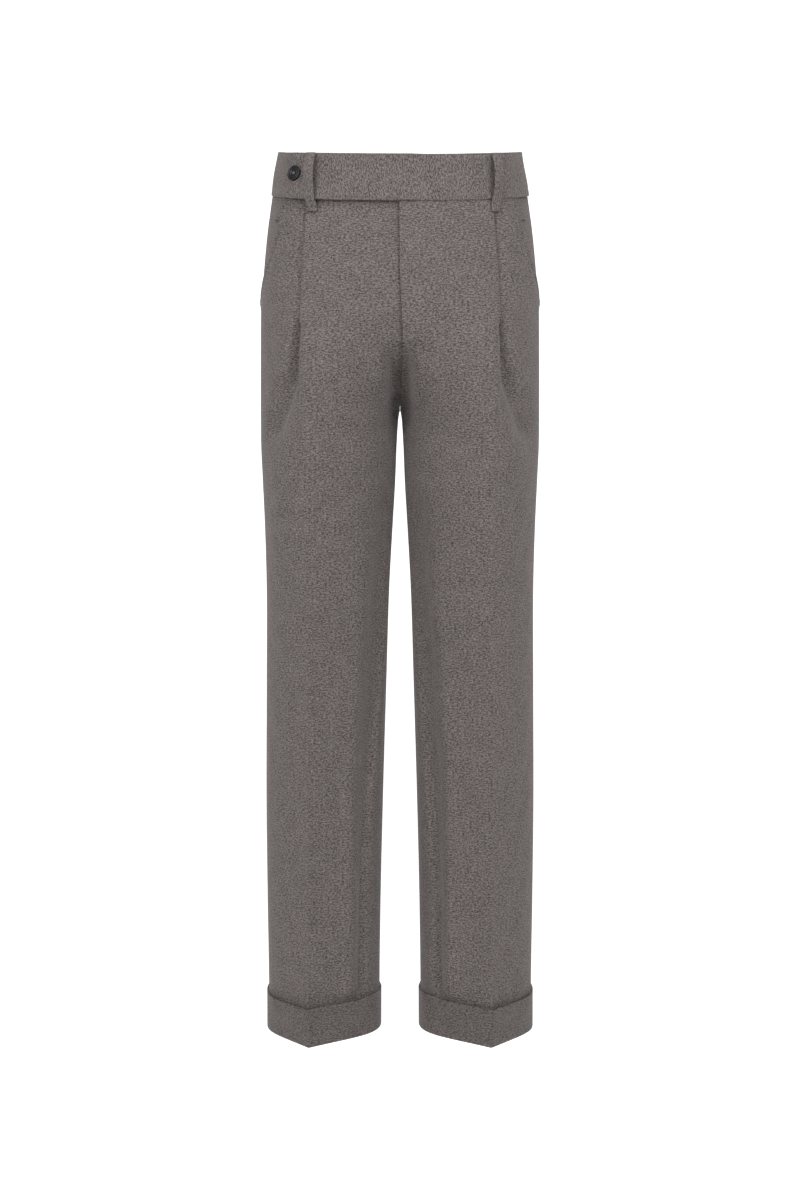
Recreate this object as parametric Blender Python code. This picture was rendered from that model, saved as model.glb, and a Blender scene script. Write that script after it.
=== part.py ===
"""Pleated dress trousers with turn-ups, hollow and filled out as if somebody wore them.

Lengths are in metres. +Z is up, the front faces -Y, and +X is the wearer's left. The origin is the
middle of the ring that the waistband makes, where the wearer's waist holds the trousers up.

A half is worked out with X as the distance from the middle plane, and the right half mirrors it.
A row is one level of a panel: a line of points from the side seam, over the pressed crease, to the
middle plane or, below the crotch, to the inside leg seam. Panels are the rows' surface, with a wall.
"""

import math

import bmesh
import bpy
import numpy as np
from mathutils import Matrix, Vector

# ------------------------------------------------------------------ driving sizes

CLOTH = 0.0011  # wall of one layer of flannel
BAND_WALL = 0.0024  # waistband: two layers of flannel and its stiffening
LOOP_WALL = 0.0016
TURN_UP_WALL = 0.0020
SEAM_GAP = 0.0003  # between two pieces that are sewn together

BAND_HEIGHT = 0.052
BAND_TOP = BAND_HEIGHT / 2
WAIST_SEAM = -BAND_HEIGHT / 2
WAIST_TILT = 0.27  # the waist rises this much for each metre towards the back
WAIST_DIP = 0.93  # and dips this much, for each metre squared, both at the front and at the back
TILT_ENDS = -0.19  # from this level down the rows lie level

CROTCH = -0.284
HEM = -1.020
CREASE = 0.104  # the pressed crease's distance from the middle plane
HIPS_END = -0.10  # from here down the one round of the hips turns into the two legs' sections
LEGS_START = -0.25

PLEAT_BEND = 0.0009  # radius of the pleat's two bends
PLEAT_LEAD = 0.014  # the cloth starts to dip under the pleat this far outside its edge

POCKET_ENDS = -0.165
FACING_UNDERLAY = 4  # the facing reaches under this many of the front's columns
FACING_LAP = 0.004  # and this far under the back
FACING_ENDS = -0.185
FACING_SINK = CLOTH + 0.0004

FLY_WIDTH = 0.037
FLY_LIFT = 0.0010  # the left front stands this far proud over the fly
FLY_SINK = 0.0011  # and the right front this far under it
FLY_SLOPE = 0.012  # width over which the left front comes back down beside the fly
FLY_TURN = (0.006, 0.032)  # the right front sinks between these distances from the middle
FLY_STEP = (-0.234, -0.216)  # the step between the two fronts grows between these levels
FLY_LAP = 0.008  # the right front reaches this far past the middle
FLY_LAP_GROWS = (-0.200, -0.188)  # between these levels

TAB_ENDS_AT = 0.1285  # the long tab ends at this distance from the middle plane
TAB_CORNER = 0.009
TAB_DROP = 0.0018  # the tab's lower edge hangs this far below the waist seam
TAB_DROP_GROWS = 0.008  # within this distance of the middle of the front
TAB_LIFT = BAND_WALL + 0.0004
TAB_RISES = (-0.034, -0.010)  # the left band rises to that between these places beside the middle
BUTTON_INSET = 0.0115  # button's middle to the tab's end
BUTTON_RISE = 0.003  # button's middle above the waistband's middle line
BUTTON_RADIUS = 0.0090
BUTTON_DEPTH = 0.0034
BUTTON_GAP = 0.0005
BUTTON_HOLE = 0.00085
BUTTON_HOLE_OUT = 0.00165  # each hole's middle from the button's, both ways

LOOP_WIDTH = 0.0108
LOOP_TAIL = 0.014  # a belt loop ends this far below the waist seam
LOOP_GAP = 0.0004
LOOP_SLACK = 0.0044  # how far a loop stands off the waistband half way down
LOOP_STEP = 0.011  # height over which it comes in from the waistband to the panel

TURN_UP_HEIGHT = 0.045
TURN_UP_STAND = 0.0024  # how far the turn-up's top edge stands off the leg
TURN_UP_FOOT = 0.0028  # height of the fold under the leg's edge

CURVE_AT_CREASE = (0.64, 0.62)  # the legs' curves leave the crease straight for this share of the
CURVE_AT_SIDE = (0.46, 0.34)  # way across, and arrive at the side and the inside for this share

DENSE = 64  # points on each stretch of a row, before it is cut to its columns
HIP_ROWS, HIP_ROWS_CLOSE = 16, 1.45  # rows above the crotch, and how much closer they get near it
LEG_ROWS, LEG_ROWS_CLOSE = 15, 1.40
BAND_STEP = 0.0125


class Sizes:
    """A table with named columns and a row for each level, read on a smooth curve through its rows."""

    def __init__(self, columns, *rows):
        table = np.array(sorted(rows))
        self.level = table[:, 0]
        self.columns = dict(zip(columns.split()[1:], table[:, 1:].T, strict=True))

    def at(self, column, level):
        """The cubic between the two nearest rows, with each row's slope taken from its neighbours."""
        value = self.columns[column]
        slope = np.gradient(value, self.level)
        level = np.clip(level, self.level[0], self.level[-1])
        i = np.clip(np.searchsorted(self.level, level) - 1, 0, len(value) - 2)
        step = self.level[i + 1] - self.level[i]
        t = (level - self.level[i]) / step
        ends = value[i] * (1 + 2 * t) * (1 - t) ** 2 + value[i + 1] * (3 - 2 * t) * t**2
        return ends + step * (slope[i] * t * (1 - t) ** 2 - slope[i + 1] * (1 - t) * t**2)


# Distance of the outside and the inside of a leg from the middle plane, and the power of the round
# of the hips: 2 is an ellipse and more is squarer. Above the crotch the inside lies past the middle
# plane, which cuts the leg's section off there.
SIDES = Sizes(
    "level   outer   inner    power",
    (0.0260, 0.1468, -0.3200, 2.60),
    (-0.026, 0.1526, -0.3200, 2.60),
    (-0.068, 0.1583, -0.3200, 2.50),
    (-0.104, 0.1619, -0.3200, 2.40),
    (-0.152, 0.1652, -0.2800, 2.30),
    (-0.180, 0.1656, -0.2200, 2.30),
    (-0.212, 0.1657, -0.1480, 2.30),
    (-0.235, 0.1657, -0.0900, 2.30),
    (-0.255, 0.1657, -0.0450, 2.30),
    (-0.270, 0.1657, -0.0140, 2.30),
    (-0.279, 0.1657, -0.0026, 2.30),
    (-0.284, 0.1657, 0.00072, 2.30),
    (-0.320, 0.1655, 0.0040, 2.30),
    (-0.368, 0.1634, 0.0062, 2.30),
    (-0.416, 0.1611, 0.0090, 2.30),
    (-0.488, 0.1589, 0.0130, 2.30),
    (-0.608, 0.1588, 0.0168, 2.30),
    (-0.752, 0.1591, 0.0210, 2.30),
    (-0.872, 0.1577, 0.0238, 2.30),
    (-0.968, 0.1561, 0.0250, 2.30),
    (-1.020, 0.1559, 0.0252, 2.30),
)

# Depth in front of the side seams at the middle plane and at the crease, and the slope of the
# cloth, in degrees, on the outer and inner side of the crease.
FRONT = Sizes(
    "level   middle crease out   in",
    (0.0260, 0.1050, 0.090, 15.0, 0.00),
    (-0.068, 0.1130, 0.098, 15.0, 0.00),
    (-0.104, 0.1160, 0.108, 15.0, 0.00),
    (-0.152, 0.1190, 0.116, 17.0, 1.00),
    (-0.212, 0.1200, 0.120, 22.0, 6.00),
    (-0.284, 0.1190, 0.120, 29.0, 19.0),
    (-0.368, 0.1170, 0.117, 34.0, 25.0),
    (-0.488, 0.1100, 0.110, 38.0, 29.0),
    (-0.608, 0.1040, 0.104, 42.0, 32.0),
    (-0.752, 0.0990, 0.099, 45.0, 35.0),
    (-0.872, 0.0950, 0.095, 47.0, 37.0),
    (-1.020, 0.0915, 0.0915, 48.0, 38.0),
)
BACK = Sizes(
    "level   middle crease out   in",
    (0.0260, 0.1070, 0.090, 15.0, 0.00),
    (-0.068, 0.1230, 0.104, 15.0, 0.00),
    (-0.104, 0.1290, 0.116, 16.0, 0.00),
    (-0.152, 0.1350, 0.128, 20.0, 1.00),
    (-0.212, 0.1360, 0.133, 26.0, 7.00),
    (-0.284, 0.1340, 0.131, 30.0, 20.0),
    (-0.368, 0.1250, 0.123, 34.0, 26.0),
    (-0.488, 0.1150, 0.114, 38.0, 30.0),
    (-0.608, 0.1080, 0.107, 41.0, 33.0),
    (-0.752, 0.1010, 0.101, 44.0, 36.0),
    (-0.872, 0.0960, 0.096, 46.0, 38.0),
    (-1.020, 0.0920, 0.092, 48.0, 40.0),
)
FACES = {"front": {"sizes": FRONT, "towards": -1}, "back": {"sizes": BACK, "towards": 1}}

# The pleat's folded edge, its distance from the middle plane, the straight run between its two
# bends, how many degrees each bend turns, and how much of it is left beside a flat row, from 1 to 0.
PLEAT = Sizes(
    "level   edge    run     turn   fold",
    (-0.026, 0.1060, 0.0250, 180.0, 1.00),
    (-0.058, 0.1080, 0.0230, 180.0, 1.00),
    (-0.095, 0.1105, 0.0180, 180.0, 1.00),
    (-0.140, 0.1122, 0.0110, 180.0, 1.00),
    (-0.170, 0.1132, 0.0065, 180.0, 1.00),
    (-0.190, 0.1136, 0.0035, 165.0, 1.00),
    (-0.205, 0.1136, 0.0028, 120.0, 1.00),
    (-0.220, 0.1130, 0.0028, 75.00, 0.96),
    (-0.240, 0.1120, 0.0036, 42.00, 0.80),
    (-0.262, 0.1105, 0.0040, 30.00, 0.48),
    (-0.284, 0.1080, 0.0040, 25.00, 0.22),
    (-0.310, 0.1050, 0.0040, 20.00, 0.06),
    (-0.335, 0.1040, 0.0040, 20.00, 0.00),
)

# Side seam to pocket mouth, along the row.
POCKET = Sizes(
    "level   inset",
    (-0.026, 0.0740),
    (-0.056, 0.0700),
    (-0.090, 0.0590),
    (-0.120, 0.0420),
    (-0.145, 0.0220),
    (POCKET_ENDS, 0.0000),
)

# The inside leg seam swings forward down the leg.
INSEAM = Sizes(
    "level   forward",
    (-0.284, 0.0000),
    (-0.400, 0.0050),
    (-0.500, 0.0110),
    (-0.600, 0.0220),
    (-0.700, 0.0330),
    (-0.770, 0.0380),
    (-1.020, 0.0400),
)

# Soft folds, with their half-width and depth, and the places that they pass as distance from the
# middle plane and level.
FOLDS = {
    "front": (
        {"wide": 0.010, "deep": 0.0042, "route": ((0.117, -0.195), (0.127, -0.262), (0.150, -0.325))},
        {"wide": 0.016, "deep": 0.0024, "route": ((0.085, -0.556), (0.034, -0.574))},
        {"wide": 0.014, "deep": 0.0022, "route": ((0.070, -0.325), (0.018, -0.300))},
    ),
    "back": (
        {"wide": 0.013, "deep": 0.0040, "route": ((0.024, -0.305), (0.075, -0.325), (0.130, -0.318))},
        {"wide": 0.015, "deep": 0.0026, "route": ((0.045, -0.372), (0.120, -0.392))},
        {"wide": 0.014, "deep": 0.0030, "route": ((0.146, -0.500), (0.080, -0.528))},
        {"wide": 0.014, "deep": 0.0036, "route": ((0.040, -0.560), (0.118, -0.582))},
        {"wide": 0.018, "deep": 0.0024, "route": ((0.140, -0.640), (0.070, -0.660))},
    ),
}

LOOPS = {
    "loop_front_right": {"side": -1, "face": "front", "from_middle": 0.0991, "over": TAB_LIFT},
    "loop_front_left": {"side": 1, "face": "front", "from_middle": 0.1083, "over": 0.0},
    "loop_side_back_right": {"side": -1, "face": "back", "from_middle": 0.1250, "over": 0.0},
    "loop_side_back_left": {"side": 1, "face": "back", "from_middle": 0.1250, "over": 0.0},
    "loop_middle_back": {"side": 1, "face": "back", "from_middle": 0.0, "over": 0.0},
}

FLANNEL = (0.155, 0.130, 0.122)
BUTTON_HORN = (0.020, 0.020, 0.024)


def smooth(value, low, high):
    """0 up to low, 1 from high on, and a smooth rise between them."""
    t = np.clip((value - low) / (high - low), 0.0, 1.0)
    return t * t * (3 - 2 * t)


# ------------------------------------------------------------------ rows


def cubic(start, leave, arrive, end):
    """A cubic curve between two points, pulled towards the two between them."""
    t = np.linspace(0, 1, 16 * DENSE)[:, None]
    shares = np.hstack([(1 - t) ** 3, 3 * t * (1 - t) ** 2, 3 * t**2 * (1 - t), t**3])
    return shares @ np.array([start, leave, arrive, end], float)


def arc_lengths(points):
    steps = np.linalg.norm(np.diff(points, axis=0), axis=1)
    return np.concatenate([[0.0], np.cumsum(steps)])


def evenly(points):
    """The same line with DENSE points, an even distance apart."""
    along = arc_lengths(points)
    at = np.linspace(0, along[-1], DENSE)
    return np.stack([np.interp(at, along, points[:, k]) for k in range(2)], axis=1)


def leg_arcs(level, face):
    """Side seam to crease, and crease to the leg's inside, with -Y outwards."""
    sizes = FACES[face]["sizes"]
    outer, inner = SIDES.at("outer", level), SIDES.at("inner", level)
    depth = sizes.at("crease", level)
    slope_out, slope_in = (math.tan(math.radians(sizes.at(side, level))) for side in ("out", "in"))
    crease = (CREASE, -depth)
    pull_out = CURVE_AT_CREASE[0] * (outer - CREASE)
    pull_in = CURVE_AT_CREASE[1] * (CREASE - inner)
    beside_out = (CREASE + pull_out, -depth + pull_out * slope_out)
    beside_in = (CREASE - pull_in, -depth + pull_in * slope_in)
    before_in = (inner, -CURVE_AT_SIDE[1] * math.dist(crease, (inner, 0)))
    return (
        cubic((outer, 0), (outer, -CURVE_AT_SIDE[0] * depth), beside_out, crease),
        cubic(crease, beside_in, before_in, (inner, 0)),
    )


def leg_row(level, face):
    """The two arcs, the inner one cut off at the middle plane or at the inside leg seam.

    The more a row has turned along the middle plane, the more it leaves room for the wall there.
    """
    outer, inner = leg_arcs(level, face)
    if level > CROTCH:
        way = np.gradient(inner, axis=0)
        room = SEAM_GAP / 2 + CLOTH / 2 * np.abs(way[:, 1]) / np.linalg.norm(way, axis=1)
        return outer, inner[: np.argmax(inner[:, 0] < room + 1e-6)]
    ahead = leg_arcs(level, "front")[1]
    seam = np.searchsorted(ahead[:, 1], -INSEAM.at("forward", level))
    if face == "front":
        return outer, ahead[: seam + 1]
    return outer, np.concatenate([inner, ahead[seam:-1][::-1] * (1, -1)])


def hip_row(level, face):
    """The one round of the hips, split where the crease runs, with -Y outwards."""
    turns = np.linspace(0, math.pi / 2, 9 * DENSE)
    power = 2 / SIDES.at("power", level)
    across = SIDES.at("outer", level) * np.cos(turns) ** power
    across = np.maximum(across, SEAM_GAP / 2)
    depth = FACES[face]["sizes"].at("middle", level) * np.sin(turns) ** power
    whole = np.stack([across, -depth], axis=1)
    split = np.searchsorted(-across, -CREASE)
    return whole[: split + 1], whole[split:]


class Line:
    """A level line along the cloth. A place on it is a distance along it and one outwards."""

    def __init__(self, points, level, clockwise):
        self.level = level
        self.points = points
        self.along = arc_lengths(points)
        self.length = self.along[-1]
        way = np.diff(points, axis=0)
        way /= np.linalg.norm(way, axis=1)[:, None]
        before, after = np.vstack([way[:1], way]), np.vstack([way, way[-1:]])
        self.way = (before + after) / np.linalg.norm(before + after, axis=1)[:, None]
        mitre = (before + after) / (1 + np.sum(before * after, axis=1))[:, None]
        self.outward = clockwise * np.stack([mitre[:, 1], -mitre[:, 0]], axis=1)

    def read(self, values, at):
        return np.stack([np.interp(at, self.along, values[:, k]) for k in range(2)], axis=1)

    def across(self, at):
        """Distance of these places from the middle plane."""
        return np.abs(np.interp(at, self.along, self.points[:, 0]))

    def place(self, at, out):
        """Places on the line as points. Past its ends they run straight on."""
        at, out = np.broadcast_arrays(np.asarray(at, float), np.asarray(out, float))
        on = np.clip(at, 0, self.length)
        flat = self.read(self.points, on) + self.read(self.way, on) * (at - on)[:, None]
        depth = flat[:, 1]
        tilt = WAIST_TILT * smooth(self.level, TILT_ENDS, WAIST_SEAM - 0.01)
        height = self.level + tilt * (depth - WAIST_DIP * depth**2)
        return np.column_stack([flat + self.read(self.outward, on) * out[:, None], height])


def row(level, face):
    """A panel's row, with the distance along it at which the crease lies."""
    outer, inner = (evenly(part) for part in leg_row(level, face))
    if level > LEGS_START:
        legs = smooth(-level, -HIPS_END, -LEGS_START)
        hips = [evenly(part) for part in hip_row(level, face)]
        outer, inner = legs * outer + (1 - legs) * hips[0], legs * inner + (1 - legs) * hips[1]
    towards = FACES[face]["towards"]
    points = np.concatenate([outer, inner[1:]]) * (1, -towards)
    line = Line(points, level, clockwise=towards)
    line.crease = line.along[DENSE - 1]
    return line


def at_distance(line, from_middle):
    """How far along a row of the hips this distance from the middle plane is reached."""
    return float(np.interp(-from_middle, -line.points[:, 0], line.along))


def folds(line, face, at):
    """Depth of the soft folds at these places of a row."""
    across = line.across(np.clip(at, 0, line.length))
    spot = np.column_stack([across, np.full(len(across), line.level)])
    depth = np.zeros(len(across))
    for fold in FOLDS[face]:
        nearest = np.full(len(across), np.inf)
        for start, end in zip(fold["route"], fold["route"][1:], strict=False):
            run = np.subtract(end, start)
            t = np.clip((spot - start) @ run / (run @ run), 0, 1)
            nearest = np.minimum(nearest, np.linalg.norm(spot - start - t[:, None] * run, axis=1))
        depth += fold["deep"] * np.exp(-((nearest / fold["wide"]) ** 2))
    return depth


# ------------------------------------------------------------------ making solids


def clear_scene():
    for thing in list(bpy.data.objects):
        bpy.data.objects.remove(thing, do_unlink=True)


def finish(name, colour, roughness):
    material = bpy.data.materials.new(name)
    material.use_nodes = True
    shader = material.node_tree.nodes["Principled BSDF"]
    shader.inputs["Base Color"].default_value = (*colour, 1)
    shader.inputs["Roughness"].default_value = roughness
    shader.inputs["Metallic"].default_value = 0.0
    return material


def add_object(name, mesh, colour, roughness):
    mesh.materials.append(finish(name, colour, roughness))
    thing = bpy.data.objects.new(name, mesh)
    bpy.context.scene.collection.objects.link(thing)
    return thing


def add_wall(name, grid, thickness, side=1, closed=False):
    """A wall whose middle surface is a grid of points, closed round if its columns meet again."""
    rows, columns = grid.shape[:2]
    corners = np.arange(rows * columns).reshape(rows, columns)
    if closed:
        corners = np.column_stack([corners, corners[:, 0]])
    faces = np.stack([corners[:-1, :-1], corners[1:, :-1], corners[1:, 1:], corners[:-1, 1:]], axis=-1)
    mesh = bpy.data.meshes.new(name)
    mesh.from_pydata((grid * (side, 1, 1)).reshape(-1, 3).tolist(), [], faces.reshape(-1, 4).tolist())
    mesh.shade_smooth()
    thing = add_object(name, mesh, FLANNEL, 0.95)
    wall = thing.modifiers.new("Wall", "SOLIDIFY")
    wall.thickness = thickness
    wall.offset = 0
    return thing


# ------------------------------------------------------------------ legs


def panel_levels():
    """Levels of the rows, closer together towards the crotch."""
    top = WAIST_SEAM - SEAM_GAP / 2
    bottom = HEM + TURN_UP_FOOT + SEAM_GAP
    above = CROTCH + (top - CROTCH) * np.linspace(1, 0, HIP_ROWS) ** HIP_ROWS_CLOSE
    below = CROTCH + (bottom - CROTCH) * np.linspace(0, 1, LEG_ROWS) ** LEG_ROWS_CLOSE
    return np.concatenate([above, below[1:]])


def pleat_bends(level):
    """The bends of the pleat as places from its edge inwards, and out, with the lower bend first.

    From the middle the top layer runs out to the edge, bends under by the turn's angle, runs back,
    and bends again by as much the other way into the layer that comes from the side.
    """
    turn = math.radians(min(180.0, PLEAT.at("turn", level)))
    run = PLEAT.at("run", level)
    upper = turn * np.linspace(1, 0, 5)
    lower = turn * np.linspace(0, 1, 4)
    start = PLEAT_BEND * math.sin(turn / 2)
    upper_at = start - PLEAT_BEND * np.sin(upper)
    upper_out = PLEAT_BEND * (np.cos(upper) - 1)
    centre_at = upper_at[0] - run * math.cos(turn) - PLEAT_BEND * math.sin(turn)
    centre_out = upper_out[0] - run * math.sin(turn) + PLEAT_BEND * math.cos(turn)
    lower_at = centre_at + PLEAT_BEND * np.sin(lower)
    lower_out = centre_out - PLEAT_BEND * np.cos(lower)
    back = (lower_at[-1] + upper_at[0]) / 2, (lower_out[-1] + upper_out[0]) / 2
    bends_at = np.concatenate([lower_at, back[:1], upper_at])
    return bends_at, np.concatenate([lower_out, back[1:], upper_out]), max(run, PLEAT_BEND)


def front_columns(line, lap=0.0):
    """Places of a front's columns, and how far each lies out, from the pocket or side seam inwards.

    The cloth dips under the pleat and comes back over it. The column at the pleat's edge is the one
    that the pressed crease follows lower down.
    """
    level = line.level
    first = POCKET.at("inset", level) if level > POCKET_ENDS else SEAM_GAP / 2
    last = line.length + lap - SEAM_GAP / 2 * (level <= CROTCH)
    outer, inner = np.linspace(first, line.crease, 16), np.linspace(line.crease, last, 10)
    flat = np.concatenate([outer, inner[1:]])
    fold = PLEAT.at("fold", level)
    if fold <= 0:
        return flat, np.zeros(len(flat))
    edge = at_distance(line, PLEAT.at("edge", level))
    bends_at, bends_out, run = pleat_bends(level)
    low = min(-0.001, bends_at[0] - 0.0015)
    top = bends_at[-1]
    lead = np.array([low - PLEAT_LEAD * 0.5, low, (low + bends_at[0]) / 2])
    at = np.concatenate(
        [
            np.linspace(first, edge + low - PLEAT_LEAD, 5),
            edge + lead,
            edge + bends_at,
            edge + top + run * np.array([0.5, 1.0]),
            np.linspace(edge + top + run, last, 6)[1:],
        ]
    )
    out = np.concatenate([np.zeros(5), bends_out[0] * np.array([0.5, 1, 1]), bends_out, np.zeros(7)])
    return fold * at + (1 - fold) * flat, fold * out


def add_front(side):
    """One front leg. The left one laps over the right one at the fly."""
    over = side > 0
    rows = []
    for level in panel_levels():
        line = row(level, "front")
        step = smooth(level, *FLY_STEP)
        lap = FLY_LAP * smooth(level, *FLY_LAP_GROWS)
        at, out = front_columns(line, 0 if over else lap)
        from_middle = line.length - at
        if over:
            out = out + FLY_LIFT * step * (1 - smooth(from_middle, FLY_WIDTH, FLY_WIDTH + FLY_SLOPE))
        else:
            out = out - FLY_SINK * step * (1 - smooth(from_middle, *FLY_TURN))
        rows.append(line.place(at, out - folds(line, "front", at)))
    add_wall(name_of("front", side), np.array(rows), CLOTH, side)


def back_columns(line):
    """Places of a back's columns, from the side seam inwards."""
    last = line.length - SEAM_GAP / 2 * (line.level <= CROTCH)
    outer, inner = np.linspace(SEAM_GAP / 2, line.crease, 9), np.linspace(line.crease, last, 10)
    return np.concatenate([outer, inner[1:]])


def add_back(side):
    """One back leg, from the side seam to the seat seam, and round to the inside leg seam."""
    rows = []
    for level in panel_levels():
        line = row(level, "back")
        at = back_columns(line)
        rows.append(line.place(at, -folds(line, "back", at)))
    add_wall(name_of("back", side), np.array(rows), CLOTH, side)


def add_pocket_facing(side):
    """The strip that shows in the pocket mouth. It lies under the edges of the front and the back."""
    rows = []
    for level in panel_levels():
        if level > FACING_ENDS:
            line = row(level, "front")
            mouth = front_columns(line)[0][:FACING_UNDERLAY]
            at = np.concatenate([np.linspace(-FACING_LAP, mouth[0], 6)[:-1], mouth])
            rows.append(line.place(at, -FACING_SINK - folds(line, "front", at)))
    add_wall(name_of("pocket_facing", side), np.array(rows), CLOTH, side)


def add_turn_up(side):
    """The hem turned up outside: a wall round the leg whose foot folds in under the leg's edge."""
    clear = CLOTH / 2 + SEAM_GAP + TURN_UP_WALL / 2
    foot = TURN_UP_FOOT - TURN_UP_WALL / 2
    profile = (
        {"rise": TURN_UP_HEIGHT, "stand": clear + TURN_UP_STAND},
        {"rise": TURN_UP_HEIGHT * 0.6, "stand": clear + TURN_UP_STAND * 0.6},
        {"rise": TURN_UP_HEIGHT * 0.25, "stand": clear + 0.0005},
        {"rise": foot + 0.0030, "stand": clear + 0.0002},
        {"rise": foot + 0.0008, "stand": clear - 0.0004},
        {"rise": foot, "stand": clear - 0.0012},
        {"rise": foot, "stand": -CLOTH / 2},
    )
    rows = []
    for corner in profile:
        level = HEM + corner["rise"]
        ahead, behind = row(level, "front"), row(level, "back")
        ring = Line(np.concatenate([ahead.points, behind.points[-2::-1]]), level, clockwise=-1)
        at = np.concatenate([front_columns(ahead)[0], ring.length - back_columns(behind)[::-1]])
        rows.append(ring.place(at, corner["stand"]))
    add_wall(name_of("turn_up", side), np.array(rows), TURN_UP_WALL, side, closed=True)


# ------------------------------------------------------------------ waist


def waist_line(level):
    """The whole round of the waist, and the distance along it of the middle of the front.

    It runs from the middle of the back past the wearer's right side, the front and the left side.
    """
    half = np.concatenate([row(level, "front").points[::-1], row(level, "back").points[1:]])
    line = Line(np.concatenate([half[::-1] * (-1, 1), half]), level, clockwise=1)
    return line, line.length / 2


def tab_end():
    """Distance from the middle of the front to the tab's end, round the wearer's right side."""
    line = row(0.0, "front")
    return line.length - at_distance(line, TAB_ENDS_AT)


def band_columns(start, end):
    """Even steps along the waist, the same on both halves, with both ends."""
    steps = np.arange(math.ceil(start / BAND_STEP + 0.3), math.floor(end / BAND_STEP - 0.3) + 1)
    return np.concatenate([[start], steps * BAND_STEP, [end]])


def add_waistband_right():
    half_way_round = waist_line(0.0)[1]
    at = band_columns(-half_way_round + SEAM_GAP, FLY_LAP / 2)
    rows = []
    for level in np.linspace(WAIST_SEAM + SEAM_GAP / 2, BAND_TOP, 3):
        line, middle = waist_line(level)
        rows.append(line.place(middle + at * middle / half_way_round, 0.0))
    add_wall("waistband_right", np.array(rows), BAND_WALL)


def add_waistband_left():
    """The left band. Past the middle of the front it is the tab, which lies over the right band."""
    end = tab_end()
    half_way_round = waist_line(0.0)[1]
    corner = -end + TAB_CORNER * (1 - np.cos(np.radians([0, 25, 50, 70])))
    at = np.concatenate([corner, band_columns(-end + TAB_CORNER, half_way_round - SEAM_GAP)])
    lift = TAB_LIFT * smooth(-at, *TAB_RISES)
    drop = TAB_DROP * smooth(-at, 0.0, TAB_DROP_GROWS) - SEAM_GAP / 2
    inside = np.clip(1 - (at + end) / TAB_CORNER, 0, 1)
    rounding = TAB_CORNER * (1 - np.sqrt(1 - inside**2))
    bottom, top = WAIST_SEAM - drop + rounding, BAND_TOP - rounding
    grid = np.zeros((4, len(at), 3))
    for i, share in enumerate(np.linspace(0, 1, 4)):
        for j, level in enumerate(bottom + share * (top - bottom)):
            line, middle = waist_line(level)
            grid[i, j] = line.place([middle + at[j] * middle / half_way_round], lift[j])[0]
    add_wall("waistband_left", grid, BAND_WALL)


def add_belt_loops():
    """Strips from the waistband's top edge to the panel below it, standing off half way down."""
    for name, loop in LOOPS.items():
        rows = []
        for share in np.linspace(0, 1, 9):
            level = BAND_TOP + share * (WAIST_SEAM - LOOP_TAIL - BAND_TOP)
            lower, upper = CLOTH / 2, BAND_WALL / 2 + loop["over"]
            under = lower + (upper - lower) * smooth(level, WAIST_SEAM - LOOP_STEP, WAIST_SEAM - TAB_DROP)
            slack = LOOP_SLACK * math.sin(math.pi * min(1.0, share * 1.15)) ** 1.5
            line = row(level, loop["face"])
            centre = at_distance(line, loop["from_middle"]) if loop["from_middle"] else line.length
            at = centre + LOOP_WIDTH * np.array([-0.5, 0, 0.5])
            rows.append(line.place(at, under + LOOP_GAP + LOOP_WALL / 2 + slack))
        add_wall(name, np.array(rows), LOOP_WALL, loop["side"])


def turned_button():
    """A round button with a raised rim, flat on the XY plane."""
    profile = (
        (0.0, 0.0),
        (0.70, 0.0),
        (0.95, 0.25),
        (1.0, 0.55),
        (0.94, 0.92),
        (0.82, 1.0),
        (0.68, 0.80),
        (0.58, 0.70),
        (0.0, 0.70),
    )
    form = bmesh.new()
    points = [form.verts.new((r * BUTTON_RADIUS, 0, z * BUTTON_DEPTH)) for r, z in profile]
    edges = [form.edges.new(pair) for pair in zip(points, points[1:], strict=False)]
    turn = {"cent": (0, 0, 0), "axis": (0, 0, 1), "angle": 2 * math.pi, "steps": 24}
    bmesh.ops.spin(form, geom=points + edges, use_merge=True, **turn)
    bmesh.ops.remove_doubles(form, verts=form.verts, dist=1e-6)
    bmesh.ops.dissolve_degenerate(form, dist=1e-6, edges=form.edges)
    bmesh.ops.recalc_face_normals(form, faces=form.faces)
    mesh = bpy.data.meshes.new("waist_button")
    form.to_mesh(mesh)
    form.free()
    return mesh


def drill(name, across, up):
    """A rod through the button, which stays as the tool that cuts its hole."""
    form = bmesh.new()
    rod = {"radius1": BUTTON_HOLE, "radius2": BUTTON_HOLE, "depth": 4 * BUTTON_DEPTH}
    bmesh.ops.create_cone(form, cap_ends=True, segments=8, **rod)
    bmesh.ops.translate(form, verts=form.verts, vec=(across, up, 0))
    mesh = bpy.data.meshes.new(name)
    form.to_mesh(mesh)
    form.free()
    tool = bpy.data.objects.new(name, mesh)
    bpy.context.scene.collection.objects.link(tool)
    tool.hide_render = True
    tool.display_type = "WIRE"
    return tool


def on_tab(rise, towards_middle):
    """A place on the tab's face, from the button's middle."""
    line = row(BUTTON_RISE + rise, "front")
    at = line.length - tab_end() + BUTTON_INSET + towards_middle
    seat = TAB_LIFT + BAND_WALL / 2 + BUTTON_GAP
    return Vector(line.place([at], seat)[0] * (-1, 1, 1))


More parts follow.
